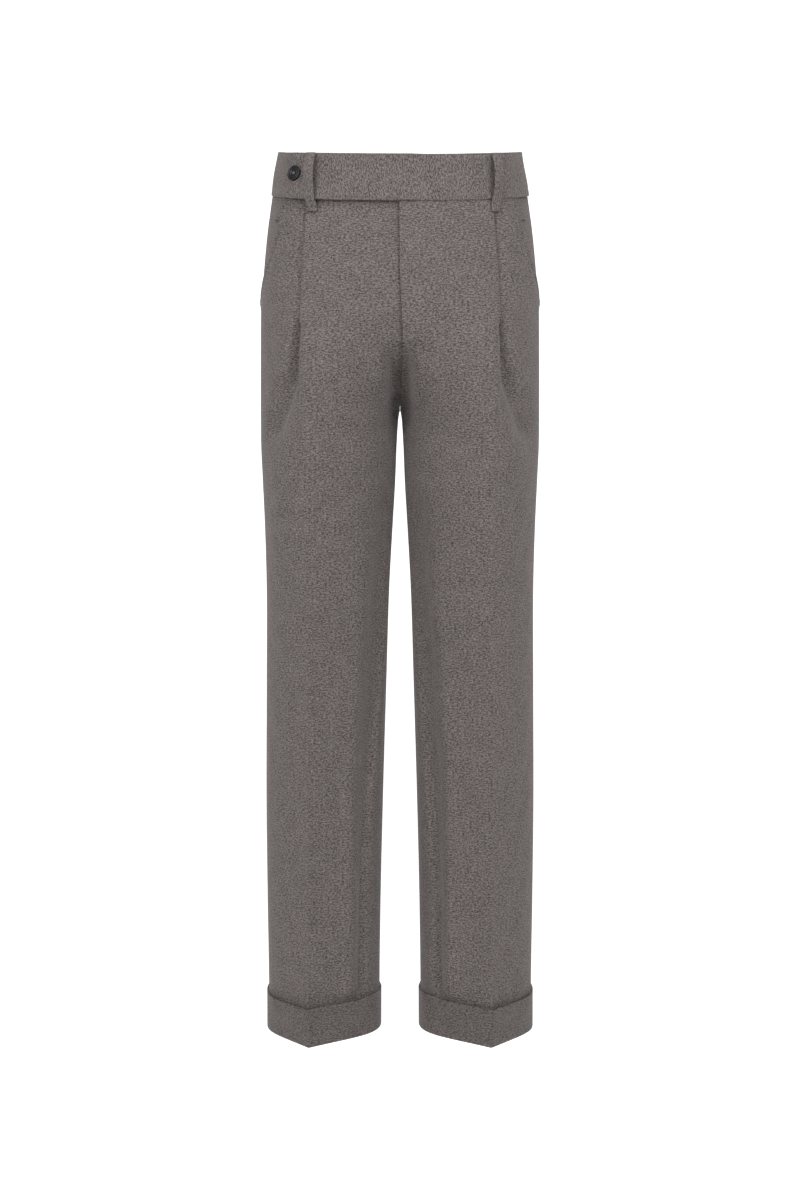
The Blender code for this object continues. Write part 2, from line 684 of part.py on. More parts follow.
def add_button():
    """The button lies flat against the tab, on three places of its face."""
    button = add_object("waist_button", turned_button(), BUTTON_HORN, 0.35)
    foot, tip = on_tab(-BUTTON_RADIUS / 2, 0.0), on_tab(BUTTON_RADIUS / 2, 0.0)
    beside = on_tab(-BUTTON_RADIUS / 2, BUTTON_RADIUS)
    upward = (tip - foot).normalized()
    outward = (beside - foot).cross(upward).normalized()
    turned = Matrix((upward.cross(outward), upward, outward)).transposed().to_4x4()
    button.matrix_world = Matrix.Translation((foot + tip) / 2) @ turned
    for number, (across, up) in enumerate(((1, 1), (-1, 1), (-1, -1), (1, -1))):
        cutter = drill(f"button_drill_{number}", across * BUTTON_HOLE_OUT, up * BUTTON_HOLE_OUT)
        cutter.matrix_world = button.matrix_world
        hole = button.modifiers.new(f"Hole {number}", "BOOLEAN")
        hole.operation = "DIFFERENCE"
        hole.solver = "MANIFOLD"
        hole.object = cutter


def name_of(piece, side):
    return f"{piece}_{'left' if side > 0 else 'right'}"


def build():
    clear_scene()
    for side in (-1, 1):
        add_front(side)
        add_back(side)
        add_pocket_facing(side)
        add_turn_up(side)
    add_waistband_right()
    add_waistband_left()
    add_belt_loops()
    add_button()


build()
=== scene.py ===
"""Pleated dress trousers in grey-brown melange flannel, hollow and filled out as if worn.

Lengths are in metres, and in millimetres in the tables of sizes and folds. +Z is up, the front
faces -Y, +X is the wearer's left, and the origin is the middle of the waistband's ring.
"""

import math

import bpy
import numpy as np
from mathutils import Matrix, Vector


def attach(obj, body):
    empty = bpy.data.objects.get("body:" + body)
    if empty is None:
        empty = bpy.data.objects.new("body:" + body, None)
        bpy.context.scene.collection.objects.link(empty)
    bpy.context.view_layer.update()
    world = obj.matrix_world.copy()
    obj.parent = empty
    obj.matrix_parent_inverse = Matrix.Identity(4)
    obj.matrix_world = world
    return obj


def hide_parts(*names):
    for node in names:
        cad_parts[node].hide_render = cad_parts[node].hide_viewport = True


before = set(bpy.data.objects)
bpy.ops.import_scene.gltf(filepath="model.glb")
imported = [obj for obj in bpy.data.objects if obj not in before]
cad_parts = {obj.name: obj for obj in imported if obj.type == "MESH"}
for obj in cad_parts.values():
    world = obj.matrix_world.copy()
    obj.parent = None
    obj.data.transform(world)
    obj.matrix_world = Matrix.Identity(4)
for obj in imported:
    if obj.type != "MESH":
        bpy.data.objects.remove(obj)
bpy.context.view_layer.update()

# ------------ studio
# A round sweep of white paper lies under and all round the trousers. Three broad soft lights stand in
# front of them, one on each side and one above, and the camera looks level just above the knees.

EYE = (0.0, -1.85, -0.4756)
FOCAL_LENGTH = 46.25
LENS_SHIFT = -0.025
FLOOR_LEVEL = -1.30
SWEEP_RADIUS = 3.6
SWEEP_BEND = 1.3
SWEEP_HEIGHT = 4.0
PAPER = (0.90, 0.90, 0.90)
PAPER_GLOW = {"seen": 0.62, "always": 0.08}
ROOM_LIGHT = 0.25
LIGHTS_AIM = (0.0, 0.0, -0.55)
SOFT_LIGHTS = {
    "left_window": {"stands": (-1.70, -2.55, 0.7), "wide": 1.4, "high": 1.8, "watts": 42},
    "right_window": {"stands": (1.80, -2.50, 0.7), "wide": 1.4, "high": 1.8, "watts": 40},
    "above": {"stands": (0.0, -1.4, 2.1), "wide": 1.8, "high": 1.0, "watts": 19},
}


def feed(tree, node, inputs):
    """Each input of a node gets a value, or a link from another node's output."""
    for name, value in inputs.items():
        if isinstance(value, bpy.types.NodeSocket):
            tree.links.new(value, node.inputs[name])
        else:
            node.inputs[name].default_value = value


def add_node(tree, kind, inputs, **settings):
    """A new shader node's outputs. Its settings come first, since they decide which inputs it has."""
    node = tree.nodes.new(f"ShaderNode{kind}")
    for name, value in settings.items():
        setattr(node, name, value)
    feed(tree, node, inputs)
    return node.outputs


def plain_material(name, colour, roughness):
    """A new material, its Principled shader and its node tree."""
    material = bpy.data.materials.new(name)
    material.use_nodes = True
    tree = material.node_tree
    shader = tree.nodes["Principled BSDF"]
    feed(tree, shader, {"Base Color": (*colour, 1), "Roughness": roughness})
    return material, shader, tree


def quads(grid):
    """The four corners of each face between a grid's points."""
    return np.stack([grid[:-1, :-1], grid[1:, :-1], grid[1:, 1:], grid[:-1, 1:]], axis=2)


def sheet_mesh(name, grid, closed=False, cut=None):
    """A mesh of the quads between a grid's points, which closes round if its columns meet again.

    The UV map holds each point's place in the flat cut, in metres.
    """
    rows, columns = grid.shape[:2]
    corners = np.arange(rows * columns).reshape(rows, columns)
    if closed:
        corners = np.column_stack([corners, corners[:, 0]])
    faces = quads(corners).reshape(-1, 4)
    mesh = bpy.data.meshes.new(name)
    mesh.vertices.add(rows * columns)
    mesh.vertices.foreach_set("co", grid.reshape(-1))
    mesh.loops.add(faces.size)
    mesh.loops.foreach_set("vertex_index", faces.reshape(-1))
    mesh.polygons.add(len(faces))
    mesh.polygons.foreach_set("loop_start", np.arange(0, faces.size, 4))
    mesh.update(calc_edges=True)
    if cut is not None:
        if closed:
            cut = np.concatenate([cut, cut[:, -1:] * 2 - cut[:, -2:-1]], axis=1)
        mesh.uv_layers.new(name="cut").data.foreach_set("uv", quads(cut).reshape(-1))
    mesh.shade_smooth()
    return mesh


def place_object(name, data, material=None):
    if material:
        data.materials.append(material)
    thing = bpy.data.objects.new(name, data)
    bpy.context.scene.collection.objects.link(thing)
    return thing


def make_sweep():
    """The paper is a profile turned round the upright axis: flat, then a quarter round, then up."""
    bend = np.linspace(0, math.pi / 2, 17)
    wall = SWEEP_RADIUS + SWEEP_BEND
    out = np.concatenate([[0.0005, 1.2, 2.4], SWEEP_RADIUS + SWEEP_BEND * np.sin(bend), [wall]])
    up = np.concatenate([[0, 0, 0], SWEEP_BEND * (1 - np.cos(bend)), [SWEEP_HEIGHT]])
    turn = np.linspace(0, 2 * math.pi, 96, endpoint=False)
    x, y = np.outer(out, np.cos(turn)), np.outer(out, np.sin(turn))
    grid = np.stack([x, y, np.outer(FLOOR_LEVEL + up, np.ones(96))], axis=-1)
    paper, shader, tree = plain_material("paper", PAPER, 0.9)
    seen = add_node(tree, "LightPath", {})["Is Camera Ray"]
    glow = {0: seen, 1: PAPER_GLOW["seen"], 2: PAPER_GLOW["always"]}
    glow = add_node(tree, "Math", glow, operation="MULTIPLY_ADD")["Value"]
    feed(tree, shader, {"Emission Color": (1, 1, 1, 1), "Emission Strength": glow})
    return place_object("floor", sheet_mesh("floor", grid[:, ::-1], closed=True), paper)


make_sweep()

for light_name, light in SOFT_LIGHTS.items():
    lamp = bpy.data.lights.new(light_name, "AREA")
    lamp.shape = "RECTANGLE"
    lamp.size, lamp.size_y, lamp.energy = light["wide"], light["high"], light["watts"]
    stand = place_object(light_name, lamp)
    stand.location = light["stands"]
    aim = Vector(LIGHTS_AIM) - stand.location
    stand.rotation_euler = aim.to_track_quat("-Z", "Y").to_euler()

world = bpy.data.worlds.new("white room")
world.use_nodes = True
room = world.node_tree
feed(room, room.nodes["Background"], {"Color": (1, 1, 1, 1), "Strength": ROOM_LIGHT})
bpy.context.scene.world = world
bpy.context.scene.view_settings.view_transform = "Standard"

lens = bpy.data.cameras.new("camera")
lens.sensor_fit = "VERTICAL"
lens.sensor_height = 36.0
lens.lens = FOCAL_LENGTH
lens.shift_y = LENS_SHIFT
camera = place_object("camera", lens)
camera.location = EYE
camera.rotation_euler = (math.pi / 2, 0, 0)
bpy.context.scene.camera = camera

# ------------ fronts
# Each front is one piece of flannel from the waist seam down to the turn-up, folded into one pleat
# and pressed to a crease. The left one lies over the right one at the fly, and below the fly the two
# are sewn together. A slanted edge at the side is the pocket's mouth.

CLOTH = 0.0011
SEAM_GAP = 0.0003
BAND_HEIGHT = 0.052
BAND_TOP = BAND_HEIGHT / 2
WAIST_SEAM = -BAND_HEIGHT / 2
WAIST_TILT = 0.27
WAIST_DIP = 0.93
TILT_ENDS = -0.19
CROTCH = -0.284
HEM = -1.020
CREASE = 0.104
HIPS_END = -0.10
LEGS_START = -0.25
TURN_UP_FOOT = 0.0028

PLEAT_BEND = 0.0009
PLEAT_LEAD = 0.014
POCKET_ENDS = -0.165

FLY_WIDTH = 0.0345
FLY_LIFT = 0.0010
FLY_SINK = 0.0016
FLY_LIP = {"high": 0.0017, "wide": 0.0050}
FLY_SLOPE = 0.012
FLY_TURN = (0.006, 0.032)
FLY_STEP = (-0.238, -0.220)
FLY_LAP = 0.008
SEAM_LAP = 0.003
SEAM_TUCK = 0.0010
FLY_LAP_GROWS = (-0.2245, -0.2195)

# How far a leg's row keeps its direction beside the crease and beside its seams, outside and inside.
CURVE_AT_CREASE = (0.64, 0.62)
CURVE_AT_SIDE = (0.46, 0.34)
FOOT_STARTS = (0.985, 1.012)  # from here down the outer face is flat with a sharper corner
FOOT_FLATTER = {"crease": 0.20, "side": 0.12}
DENSE = 128  # points on each half of a row
SEAM_ROLL = {"high": 0.0006, "wide": 0.0022}  # a panel's edge rolls in towards its seam
CREASE_RIDGE = {"high": 0.0005, "wide": 0.0016}
MOUTH_LIP = {"high": 0.0010, "wide": 0.0050}  # the pocket's folded edge stands up a little

# How far below the waist these features begin, and where they have grown to their full size.
CREASE_GROWS = {"front": (0.20, 0.30), "back": (0.24, 0.34)}
LEAD_GROWS = (0.20, 0.28)
LEG_ROLL_GROWS = (0.30, 0.36)
SEAT_ROLL_FADES = (0.23, 0.26)

# The waves of the cloth's unevenness: height, radians for each metre along the row and down the
# panel, and how much the side shifts it.
WAVES = (
    (0.00018, 171, 61, 1.0),
    (0.00014, -97, 143, 2.1),
    (0.00010, 263, 207, -1.0),
    (0.00040, 34, -47, 1.7),
)


class Sizes:
    """A table with a row for each level, in millimetres, read on a smooth curve through its rows.

    The columns that are named as plain hold powers, degrees or shares.
    """

    def __init__(self, table, plain=()):
        names, *rows = (line.split() for line in table.strip().splitlines())
        columns = np.array(sorted(np.array(rows, float).tolist())).T
        units = [1 if name in plain else 1000 for name in names]
        self.columns = dict(zip(names, (column / unit for column, unit in zip(columns, units))))
        self.level = self.columns["level"]

    def at(self, column, level):
        """The cubic between the two nearest rows, with each row's slope taken from its neighbours."""
        value = self.columns[column]
        slope = np.gradient(value, self.level)
        level = np.clip(level, self.level[0], self.level[-1])
        i = np.clip(np.searchsorted(self.level, level) - 1, 0, len(value) - 2)
        step = self.level[i + 1] - self.level[i]
        t = (level - self.level[i]) / step
        ends = value[i] * (1 + 2 * t) * (1 - t) ** 2 + value[i + 1] * (3 - 2 * t) * t**2
        return ends + step * (slope[i] * t * (1 - t) ** 2 - slope[i + 1] * (1 - t) * t**2)


# Distance of the outside and the inside of a leg from the middle plane, and the power of the round
# of the hips.
SIDES = Sizes(
    """
    level outer inner power
       26 146.8  -320   2.6
      -26 152.6  -320   2.6
      -68 158.3  -320   2.5
     -104 161.9  -320   2.4
     -152 165.2  -280   2.3
     -180 165.6  -220   2.3
     -212 165.7  -148   2.3
     -235 165.7   -90   2.3
     -255 165.7   -45   2.3
     -270 165.7   -14   2.3
     -279 165.7  -2.6   2.3
     -284 165.7   0.6   2.3
     -291 165.7   2.1   2.3
     -303 165.6   3.2   2.3
     -320 165.5   4.2   2.3
     -368 163.4   6.2   2.3
     -416 161.1     9   2.3
     -488 158.9    13   2.3
     -608 158.8  16.8   2.3
     -752 159.1    21   2.3
     -872 157.7  23.8   2.3
     -968 156.1    25   2.3
    -1020 155.9  25.2   2.3
    """,
    plain=("power",),
)

# Depth in front of the side seams at the middle plane and at the crease, and the slope of the
# cloth, in degrees, on the outer and inner side of the crease.
FRONT = Sizes(
    """
    level middle crease out   in
       26    105     90  15    0
      -68    113     98  15    0
     -104    116    108  15    0
     -152    119    116  17    1
     -212    120    120  22    6
     -284    119    120  29   19
     -368    117    117  34   25
     -488    110    110  38   29
     -608    104    104  42   32
     -752     99     99  45   35
     -872     95     95  47   37
     -985   92.2   92.2  48   38
    -1020   91.5   91.5  51 38.5
    """,
    plain=("out", "in"),
)
FACES = {"front": {"sizes": FRONT, "towards": -1}}

# Two hollows of the fronts at the middle: a soft one under the belly, and the valley in which the
# rise seam runs down between the legs. Each has a depth, a half-width, and the levels it spans.
UNDER_BELLY = {"deep": 0.0100, "wide": 0.055, "level": -0.236, "high": 0.036}
RISE_VALLEY = {"deep": 0.0280, "wide": 0.0150, "starts": (0.214, 0.246), "ends": (0.288, 0.316)}

# The pleat's folded edge, its distance from the middle plane, the straight run between its two
# bends, how many degrees each bend turns, and how much of it is left beside a flat row, from 1 to 0.
PLEAT = Sizes(
    """
    level  edge run turn fold
      -26   106  25  180    1
      -58   108  23  180    1
      -95 110.5  18  180    1
     -140 112.2  11  180    1
     -170 113.2 6.5  180    1
     -190 113.6 3.5  165    1
     -205 113.8 3.6  140    1
     -220 113.8   5  112    1
     -240 113.8 7.4   88 0.96
     -262 113.6 8.8   68 0.84
     -284 112.6 8.8   52  0.6
     -310 109.6 7.6   38  0.3
     -335 106.6   6   28  0.1
     -360   104   5   20    0
    """,
    plain=("turn", "fold"),
)

# Side seam to pocket mouth, along the row.
POCKET = Sizes(
    """
    level inset
      -26    74
      -56    70
      -90    59
     -120    42
     -145    22
     -165     0
    """
)

# The inside leg seam swings forward down the leg.
INSEAM = Sizes(
    """
    level forward
     -284       0
     -400       5
     -500      11
     -600      22
     -700      33
     -770      38
    -1020      40
    """
)

# The left front's edge, as its distance to the wearer's left of the middle plane.
FLY_EDGE = Sizes(
    """
    level left
      -26 -0.6
     -100    0
     -150  0.6
     -190  2.4
     -222  3.6
     -246    2
     -284    0
    """
)

# Soft folds of the fronts, in millimetres: the side that they are on (0 is both), their half-width
# and depth at both ends (a ridge's depth is negative), and the places that they pass, as distance
# from the middle plane and level.
FRONT_FOLDS = (
    (0, (5.6, 11), (7, 10), ((118, -198), (122.5, -236), (129, -260), (135, -282), (146, -312))),
    (0, (14, 22), (1.2, 2.4), ((126, -150), (150, -330))),
    (0, (6, 9), (-1, -0.6), ((105, -200), (108, -300))),
    (0, (20, 14), (2, 3.4), ((72, -330), (16, -308))),
    (0, (12, 14), (5.6, 9.8), ((18, -400), (29, -600), (36, -740), (37, -955))),
    (0, (10, 9), (-1.4, -4), ((40, -460), (50, -600), (57, -740), (57, -960))),
    (1, (10, 14), (1.4, 0.6), ((20, -345), (60, -372))),
    (-1, (11, 15), (1.6, 0.6), ((26, -356), (72, -388))),
    (0, (18, 15), (1.8, 3), ((85, -552), (34, -570))),
    (1, (13, 13), (-0.6, -1.4), ((80, -516), (34, -532))),
    (-1, (14, 14), (-1, -1), ((86, -520), (40, -524))),
    (1, (15, 12), (1.2, 0.4), ((150, -590), (120, -612))),
    (-1, (15, 12), (1.4, 0.4), ((152, -560), (118, -592))),
    (1, (18, 16), (0.6, 1.2), ((70, -705), (36, -690))),
    (-1, (18, 16), (0.6, 1.3), ((74, -720), (38, -700))),
)


def smooth(value, low, high):
    """0 up to low, 1 from high on, and a smooth rise between them."""
    t = np.clip((value - low) / (high - low), 0.0, 1.0)
    return t * t * (3 - 2 * t)


def unit(vectors):
    return vectors / np.linalg.norm(vectors, axis=-1, keepdims=True)


def bell(distance, wide):
    return np.exp(-((distance / wide) ** 2))


def ridge(distance, size):
    """Height of a ridge at a distance from its top line, as a bell curve."""
    return size["high"] * bell(distance, size["wide"])


def cubic(start, leave, arrive, end):
    """A cubic curve between two points, pulled towards the two between them."""
    t = np.linspace(0, 1, 8 * DENSE)[:, None]
    shares = np.hstack([(1 - t) ** 3, 3 * t * (1 - t) ** 2, 3 * t**2 * (1 - t), t**3])
    return shares @ np.array([start, leave, arrive, end], float)


def arc_lengths(points):
    steps = np.linalg.norm(np.diff(points, axis=0), axis=1)
    return np.concatenate([[0.0], np.cumsum(steps)])


def evenly(points):
    """The same line with DENSE points, an even distance apart."""
    along = arc_lengths(points)
    at = np.linspace(0, along[-1], DENSE)
    return np.stack([np.interp(at, along, points[:, k]) for k in range(2)], axis=1)


def leg_arcs(level, face):
    """Side seam to crease, and crease to the leg's inside, with -Y outwards."""
    sizes = FACES[face]["sizes"]
    outer, inner = SIDES.at("outer", level), SIDES.at("inner", level)
    depth = sizes.at("crease", level)
    slope_out, slope_in = (math.tan(math.radians(sizes.at(side, level))) for side in ("out", "in"))
    crease = (CREASE, -depth)
    foot = smooth(-level, *FOOT_STARTS)
    pull_out = (CURVE_AT_CREASE[0] + FOOT_FLATTER["crease"] * foot) * (outer - CREASE)
    pull_in = CURVE_AT_CREASE[1] * (CREASE - inner)
    pull_side = CURVE_AT_SIDE[0] - FOOT_FLATTER["side"] * foot
    beside_out = (CREASE + pull_out, -depth + pull_out * slope_out)
    beside_in = (CREASE - pull_in, -depth + pull_in * slope_in)
    before_in = (inner, -CURVE_AT_SIDE[1] * math.dist(crease, (inner, 0)))
    return (
        cubic((outer, 0), (outer, -pull_side * depth), beside_out, crease),
        cubic(crease, beside_in, before_in, (inner, 0)),
    )


def leg_row(level, face):
    """The two arcs, the inner one cut off at the middle plane or at the inside leg seam."""
    outer, inner = leg_arcs(level, face)
    if level > CROTCH:
        way = np.gradient(inner, axis=0)
        room = CLOTH / 2 * np.abs(way[:, 1]) / np.linalg.norm(way, axis=1)
        return outer, inner[: np.argmax(inner[:, 0] < room + 1e-6)]
    ahead = leg_arcs(level, "front")[1]
    seam = np.searchsorted(ahead[:, 1], -INSEAM.at("forward", level))
    if face == "front":
        return outer, ahead[: seam + 1]
    return outer, np.concatenate([inner, ahead[seam:-1][::-1] * (1, -1)])


def hip_row(level, face):
    """The one round of the hips, a squared ellipse, split where the crease runs."""
    turns = np.linspace(0, math.pi / 2, 6 * DENSE)
    power = 2 / SIDES.at("power", level)
    across = SIDES.at("outer", level) * np.cos(turns) ** power
    depth = FACES[face]["sizes"].at("middle", level) * np.sin(turns) ** power
    whole = np.stack([across, -depth], axis=1)
    split = np.searchsorted(-across, -CREASE)
    return whole[: split + 1], whole[split:]


class Line:
    """A level line along the cloth. A place on it is a distance along it and one outwards."""

    def __init__(self, points, level, clockwise):
        self.level = level
        self.points = points
        self.along = arc_lengths(points)
        self.length = self.along[-1]
        way = unit(np.diff(points, axis=0))
        before, after = np.vstack([way[:1], way]), np.vstack([way, way[-1:]])
        self.way = unit(before + after)
        mitre = (before + after) / (1 + np.sum(before * after, axis=1))[:, None]
        self.outward = clockwise * np.stack([mitre[:, 1], -mitre[:, 0]], axis=1)

    def read(self, values, at):
        return np.stack([np.interp(at, self.along, values[:, k]) for k in range(2)], axis=1)

    def across(self, at):
        """Distance of these places from the middle plane."""
        return np.abs(np.interp(at, self.along, self.points[:, 0]))

    def faces(self, at, low, high):
        """0 where the cloth faces sideways, and 1 where it faces forwards or backwards."""
        return smooth(np.abs(np.interp(at, self.along, self.outward[:, 1])), low, high)

    def place(self, at, out):
        """Places on the line as points. Past its ends they run straight on."""
        at, out = np.broadcast_arrays(np.asarray(at, float), np.asarray(out, float))
        on = np.clip(at, 0, self.length)
        flat = self.read(self.points, on) + self.read(self.way, on) * (at - on)[:, None]
        depth = flat[:, 1]
        tilt = WAIST_TILT * smooth(self.level, TILT_ENDS, WAIST_SEAM - 0.01)
        height = self.level + tilt * (depth - WAIST_DIP * depth**2)
        return np.column_stack([flat + self.read(self.outward, on) * out[:, None], height])


def hollow(level, across):
    """How far the fronts lie back at these distances from the middle plane."""
    belly, valley = UNDER_BELLY, RISE_VALLEY
    soft = bell(level - belly["level"], belly["high"]) * belly["deep"] * bell(across, belly["wide"])
    sharp = smooth(-level, *valley["starts"]) * (1 - smooth(-level, *valley["ends"]))
    return soft + sharp * valley["deep"] * np.exp(-((across / valley["wide"]) ** 4))


def row(level, face):
    """A panel's row, with the distance along it at which the crease lies."""
    outer, inner = (evenly(part) for part in leg_row(level, face))
    if level > LEGS_START:
        legs = smooth(-level, -HIPS_END, -LEGS_START)
        hips = [evenly(part) for part in hip_row(level, face)]
        outer, inner = legs * outer + (1 - legs) * hips[0], legs * inner + (1 - legs) * hips[1]
    towards = FACES[face]["towards"]
    points = np.concatenate([outer, inner[1:]])
    if face == "front":
        points[:, 1] += hollow(level, points[:, 0]) * np.clip(-points[:, 1] / 0.06, 0, 1)
    points = points * (1, -towards)
    line = Line(points, level, clockwise=towards)
    line.crease = line.along[DENSE - 1]
    return line


def at_distance(line, from_middle):
    """How far along a row of the hips this distance from the middle plane is reached."""
    return float(np.interp(-from_middle, -line.points[:, 0], line.along))


def fold_depth(folds, side, line, at):
    """Depth of the soft folds at places of a row: a bell curve of the distance from each route.

    Where the cloth faces sideways, between the legs, and along a leg's seams, it is free of folds.
    """
    on = np.clip(at, 0, line.length)
    across = line.across(on)
    spot = np.column_stack([across, np.full(len(across), line.level)])
    faces = line.faces(on, 0.10, 0.45)
    if line.level < CROTCH:
        faces = faces * smooth(np.minimum(on, line.length - on), 0.0, 0.010)
    depth = np.zeros(len(across))
    for on_side, *sizes in folds:
        wide, deep, route = (np.array(size) / 1000 for size in sizes)
        reach = 4 * max(wide)
        near = route[:, 1].min() - reach < line.level < route[:, 1].max() + reach
        if on_side == -side or not near:
            continue
        nearest, share = np.full(len(across), np.inf), np.zeros(len(across))
        passed = arc_lengths(route) / arc_lengths(route)[-1]
        for i, run in enumerate(np.diff(route, axis=0)):
            t = np.clip((spot - route[i]) @ run / (run @ run), 0, 1)
            away = np.linalg.norm(spot - route[i] - t[:, None] * run, axis=1)
            share = np.where(away < nearest, passed[i] + t * (passed[i + 1] - passed[i]), share)
            nearest = np.minimum(nearest, away)
        wide, deep = (np.interp(share, (0, 1), size) for size in (wide, deep))
        depth += deep * faces * bell(nearest, wide)
    return depth


def unevenness(line, at, side):
    """A soft waviness, the sum of slanting waves of uneven length, that fades out near the seams."""
    fade = smooth(np.minimum(at, line.length - at), 0.0, 0.02) * line.faces(at, 0.10, 0.50)
    waves = (
        high * np.sin(along * at + down * line.level + shift * side)
        for high, along, down, shift in WAVES
    )
    return fade * sum(waves)


def on_rows(levels, place_row, count=33):
    """Places at these levels, each read between the two nearest of some evenly spaced rows."""
    low, high = levels.min(), levels.max() + 1e-6
    rows = np.array([place_row(level) for level in np.linspace(low, high, count)])
    step = (levels - low) / (high - low) * (count - 1)
    below = np.clip(step.astype(int), 0, count - 2)
    part = (step - below)[:, None]
    column = np.arange(len(levels))
    return rows[below, column] * (1 - part) + rows[below + 1, column] * part


def panel_levels():
    """Levels of the rows, closer together towards the crotch."""
    top = WAIST_SEAM - SEAM_GAP / 2
    bottom = HEM + TURN_UP_FOOT + SEAM_GAP
    above = CROTCH + (top - CROTCH) * np.linspace(1, 0, 96) ** 1.15
    below = CROTCH + (bottom - CROTCH) * np.linspace(0, 1, 146) ** 1.12
    return np.concatenate([above, below[1:]])


def pleat_bends(level):
    """The bends of the pleat as places from its edge inwards, and out, with the lower bend first.

    From the middle the top layer runs out to the edge, bends under by the turn's angle, runs back,
    and bends again by as much the other way into the layer that comes from the side.
    """
    turn = math.radians(min(180.0, PLEAT.at("turn", level)))
    run = PLEAT.at("run", level)

    def bend(angles):
        return PLEAT_BEND * np.stack([np.sin(angles), -np.cos(angles)])

    start = np.array([[PLEAT_BEND * math.sin(turn / 2)], [-PLEAT_BEND]])
    upper = start - bend(turn * np.linspace(1, 0, 9))
    way_back = run * np.array([[math.cos(turn)], [math.sin(turn)]])
    lower = upper[:, :1] - way_back - bend([turn]) + bend(turn * np.linspace(0, 1, 8))
    back = lower[:, -1:] + (upper[:, :1] - lower[:, -1:]) * (0.25, 0.5, 0.75)
    at, out = np.hstack([lower, back, upper])
    return at, out, max(run, PLEAT_BEND)


def middle_lap(side, line, at):
    """Under the other half's edge the seam allowance of the wearer's right half lies a wall deeper."""
    return (side < 0) * (CLOTH + SEAM_GAP) * smooth(at - line.length, -0.0004, 0.0012)


def front_columns(line, lap=0.0):
    """Places of a front's columns, and how far each lies out, from the pocket or side seam inwards.

    The cloth dips under the pleat and comes back over it. The column at the pleat's edge is the one
    that the pressed crease follows lower down.
    """
    level = line.level
    first = POCKET.at("inset", level) if level > POCKET_ENDS else SEAM_GAP / 2
    last = line.length + lap
    outer, inner = np.linspace(first, line.crease, 52), np.linspace(line.crease, last, 54)
    flat = np.concatenate([outer, inner[1:]])
    fold = PLEAT.at("fold", level)
    if fold <= 0:
        return flat, np.zeros(len(flat))
    edge = at_distance(line, PLEAT.at("edge", level))
    bends_at, bends_out, run = pleat_bends(level)
    low = min(-0.001, bends_at[0] - 0.0015)
    top = bends_at[-1]
    leads = PLEAT_LEAD * (1 + smooth(-level, *LEAD_GROWS))
    lead = low - leads * np.linspace(1, 0, 9)[1:]
    dip = smooth(np.linspace(0, 1, 9)[1:], 0, 1)
    parts = (
        np.linspace(first, edge + low - leads, 30),
        edge + lead,
        [edge + (low + bends_at[0]) / 2],
        edge + bends_at,
        edge + top + run * np.linspace(0, 1, 9)[1:],
        np.linspace(edge + top + run, last, 39)[1:],
    )
    out = np.concatenate([np.zeros(30), bends_out[0] * dip, bends_out[:1], bends_out, np.zeros(46)])
    return fold * np.concatenate(parts) + (1 - fold) * flat, fold * out


# The layers of fibres in the melange, from the yarn to a soft cloudiness: the noise's stretch along
# the weft, its scale, detail and roughness, the part of it that is spread from 0 to 1, and the
# layer's share in the colour and in the nap.
FIBRES = (
    ((0.50, 620, 3.0, 0.75), (0.41, 0.59), 0.56, 0.6),
    ((0.70, 1150, 2.0, 0.60), (0.41, 0.59), 0.42, 0.4),
    ((0.16, 760, 2.0, 0.50), (0.54, 0.70), 0.24, 0.0),
    ((0.80, 60, 2.0, 0.50), (0.25, 0.75), 0.12, 0.0),
)
DARKER = 0.11


def make_flannel():
    """Melange flannel: light and dark fibres spun together, lying a little along the weft."""
    group = bpy.data.node_groups.new("Melange flannel", "ShaderNodeTree")
    for name, way, kind in (
        ("Place", "INPUT", "Vector"),
        ("Dark fibre", "INPUT", "Color"),
        ("Light fibre", "INPUT", "Color"),
        ("Colour", "OUTPUT", "Color"),
        ("Nap", "OUTPUT", "Float"),
    ):
        group.interface.new_socket(name, in_out=way, socket_type=f"NodeSocket{kind}")
    come = group.nodes.new("NodeGroupInput").outputs
    colour, nap = -DARKER, 0.0
    for (stretch, scale, detail, roughness), (low, high), in_colour, in_nap in FIBRES:
        place = add_node(group, "Mapping", {"Vector": come["Place"], "Scale": (stretch, 1.0, 1.0)})
        noise = {"Vector": place["Vector"], "Scale": scale, "Detail": detail, "Roughness": roughness}
        noise = add_node(group, "TexNoise", noise)["Fac"]
        layer = add_node(group, "MapRange", {"Value": noise, "From Min": low, "From Max": high})
        colour, nap = (
            add_node(group, "Math", {0: layer["Result"], 1: share, 2: below}, operation="MULTIPLY_ADD")
            for share, below in ((in_colour, colour), (in_nap, nap))
        )
        colour, nap = colour["Value"], nap["Value"]
    fibres = {"Factor": colour, "A": come["Dark fibre"], "B": come["Light fibre"]}
    mixed = add_node(group, "Mix", fibres, data_type="RGBA")["Result"]
    feed(group, group.nodes.new("NodeGroupOutput"), {"Colour": mixed, "Nap": nap})
    return group


melange = make_flannel()


def flannel_material(name, dark, light):
    """Matte wool with a soft sheen. The fibres follow the piece's own cut."""
    material, shader, tree = plain_material(name, light, 0.92)
    cut = add_node(tree, "UVMap", {}, uv_map="cut")["UV"]
    fibres = {"Place": cut, "Dark fibre": (*dark, 1), "Light fibre": (*light, 1)}
    wool = add_node(tree, "Group", fibres, node_tree=melange)
    bump = add_node(tree, "Bump", {"Strength": 0.55, "Distance": 0.0004, "Height": wool["Nap"]})
    feed(tree, shader, {"Base Color": wool["Colour"], "Normal": bump["Normal"]})
    feed(tree, shader, {"Specular IOR Level": 0.15, "Sheen Weight": 0.32, "Sheen Roughness": 0.45})
    feed(tree, shader, {"Sheen Tint": (0.80, 0.76, 0.74, 1)})
    return material


flannel = flannel_material("flannel", dark=(0.022, 0.018, 0.0175), light=(0.258, 0.225, 0.214))


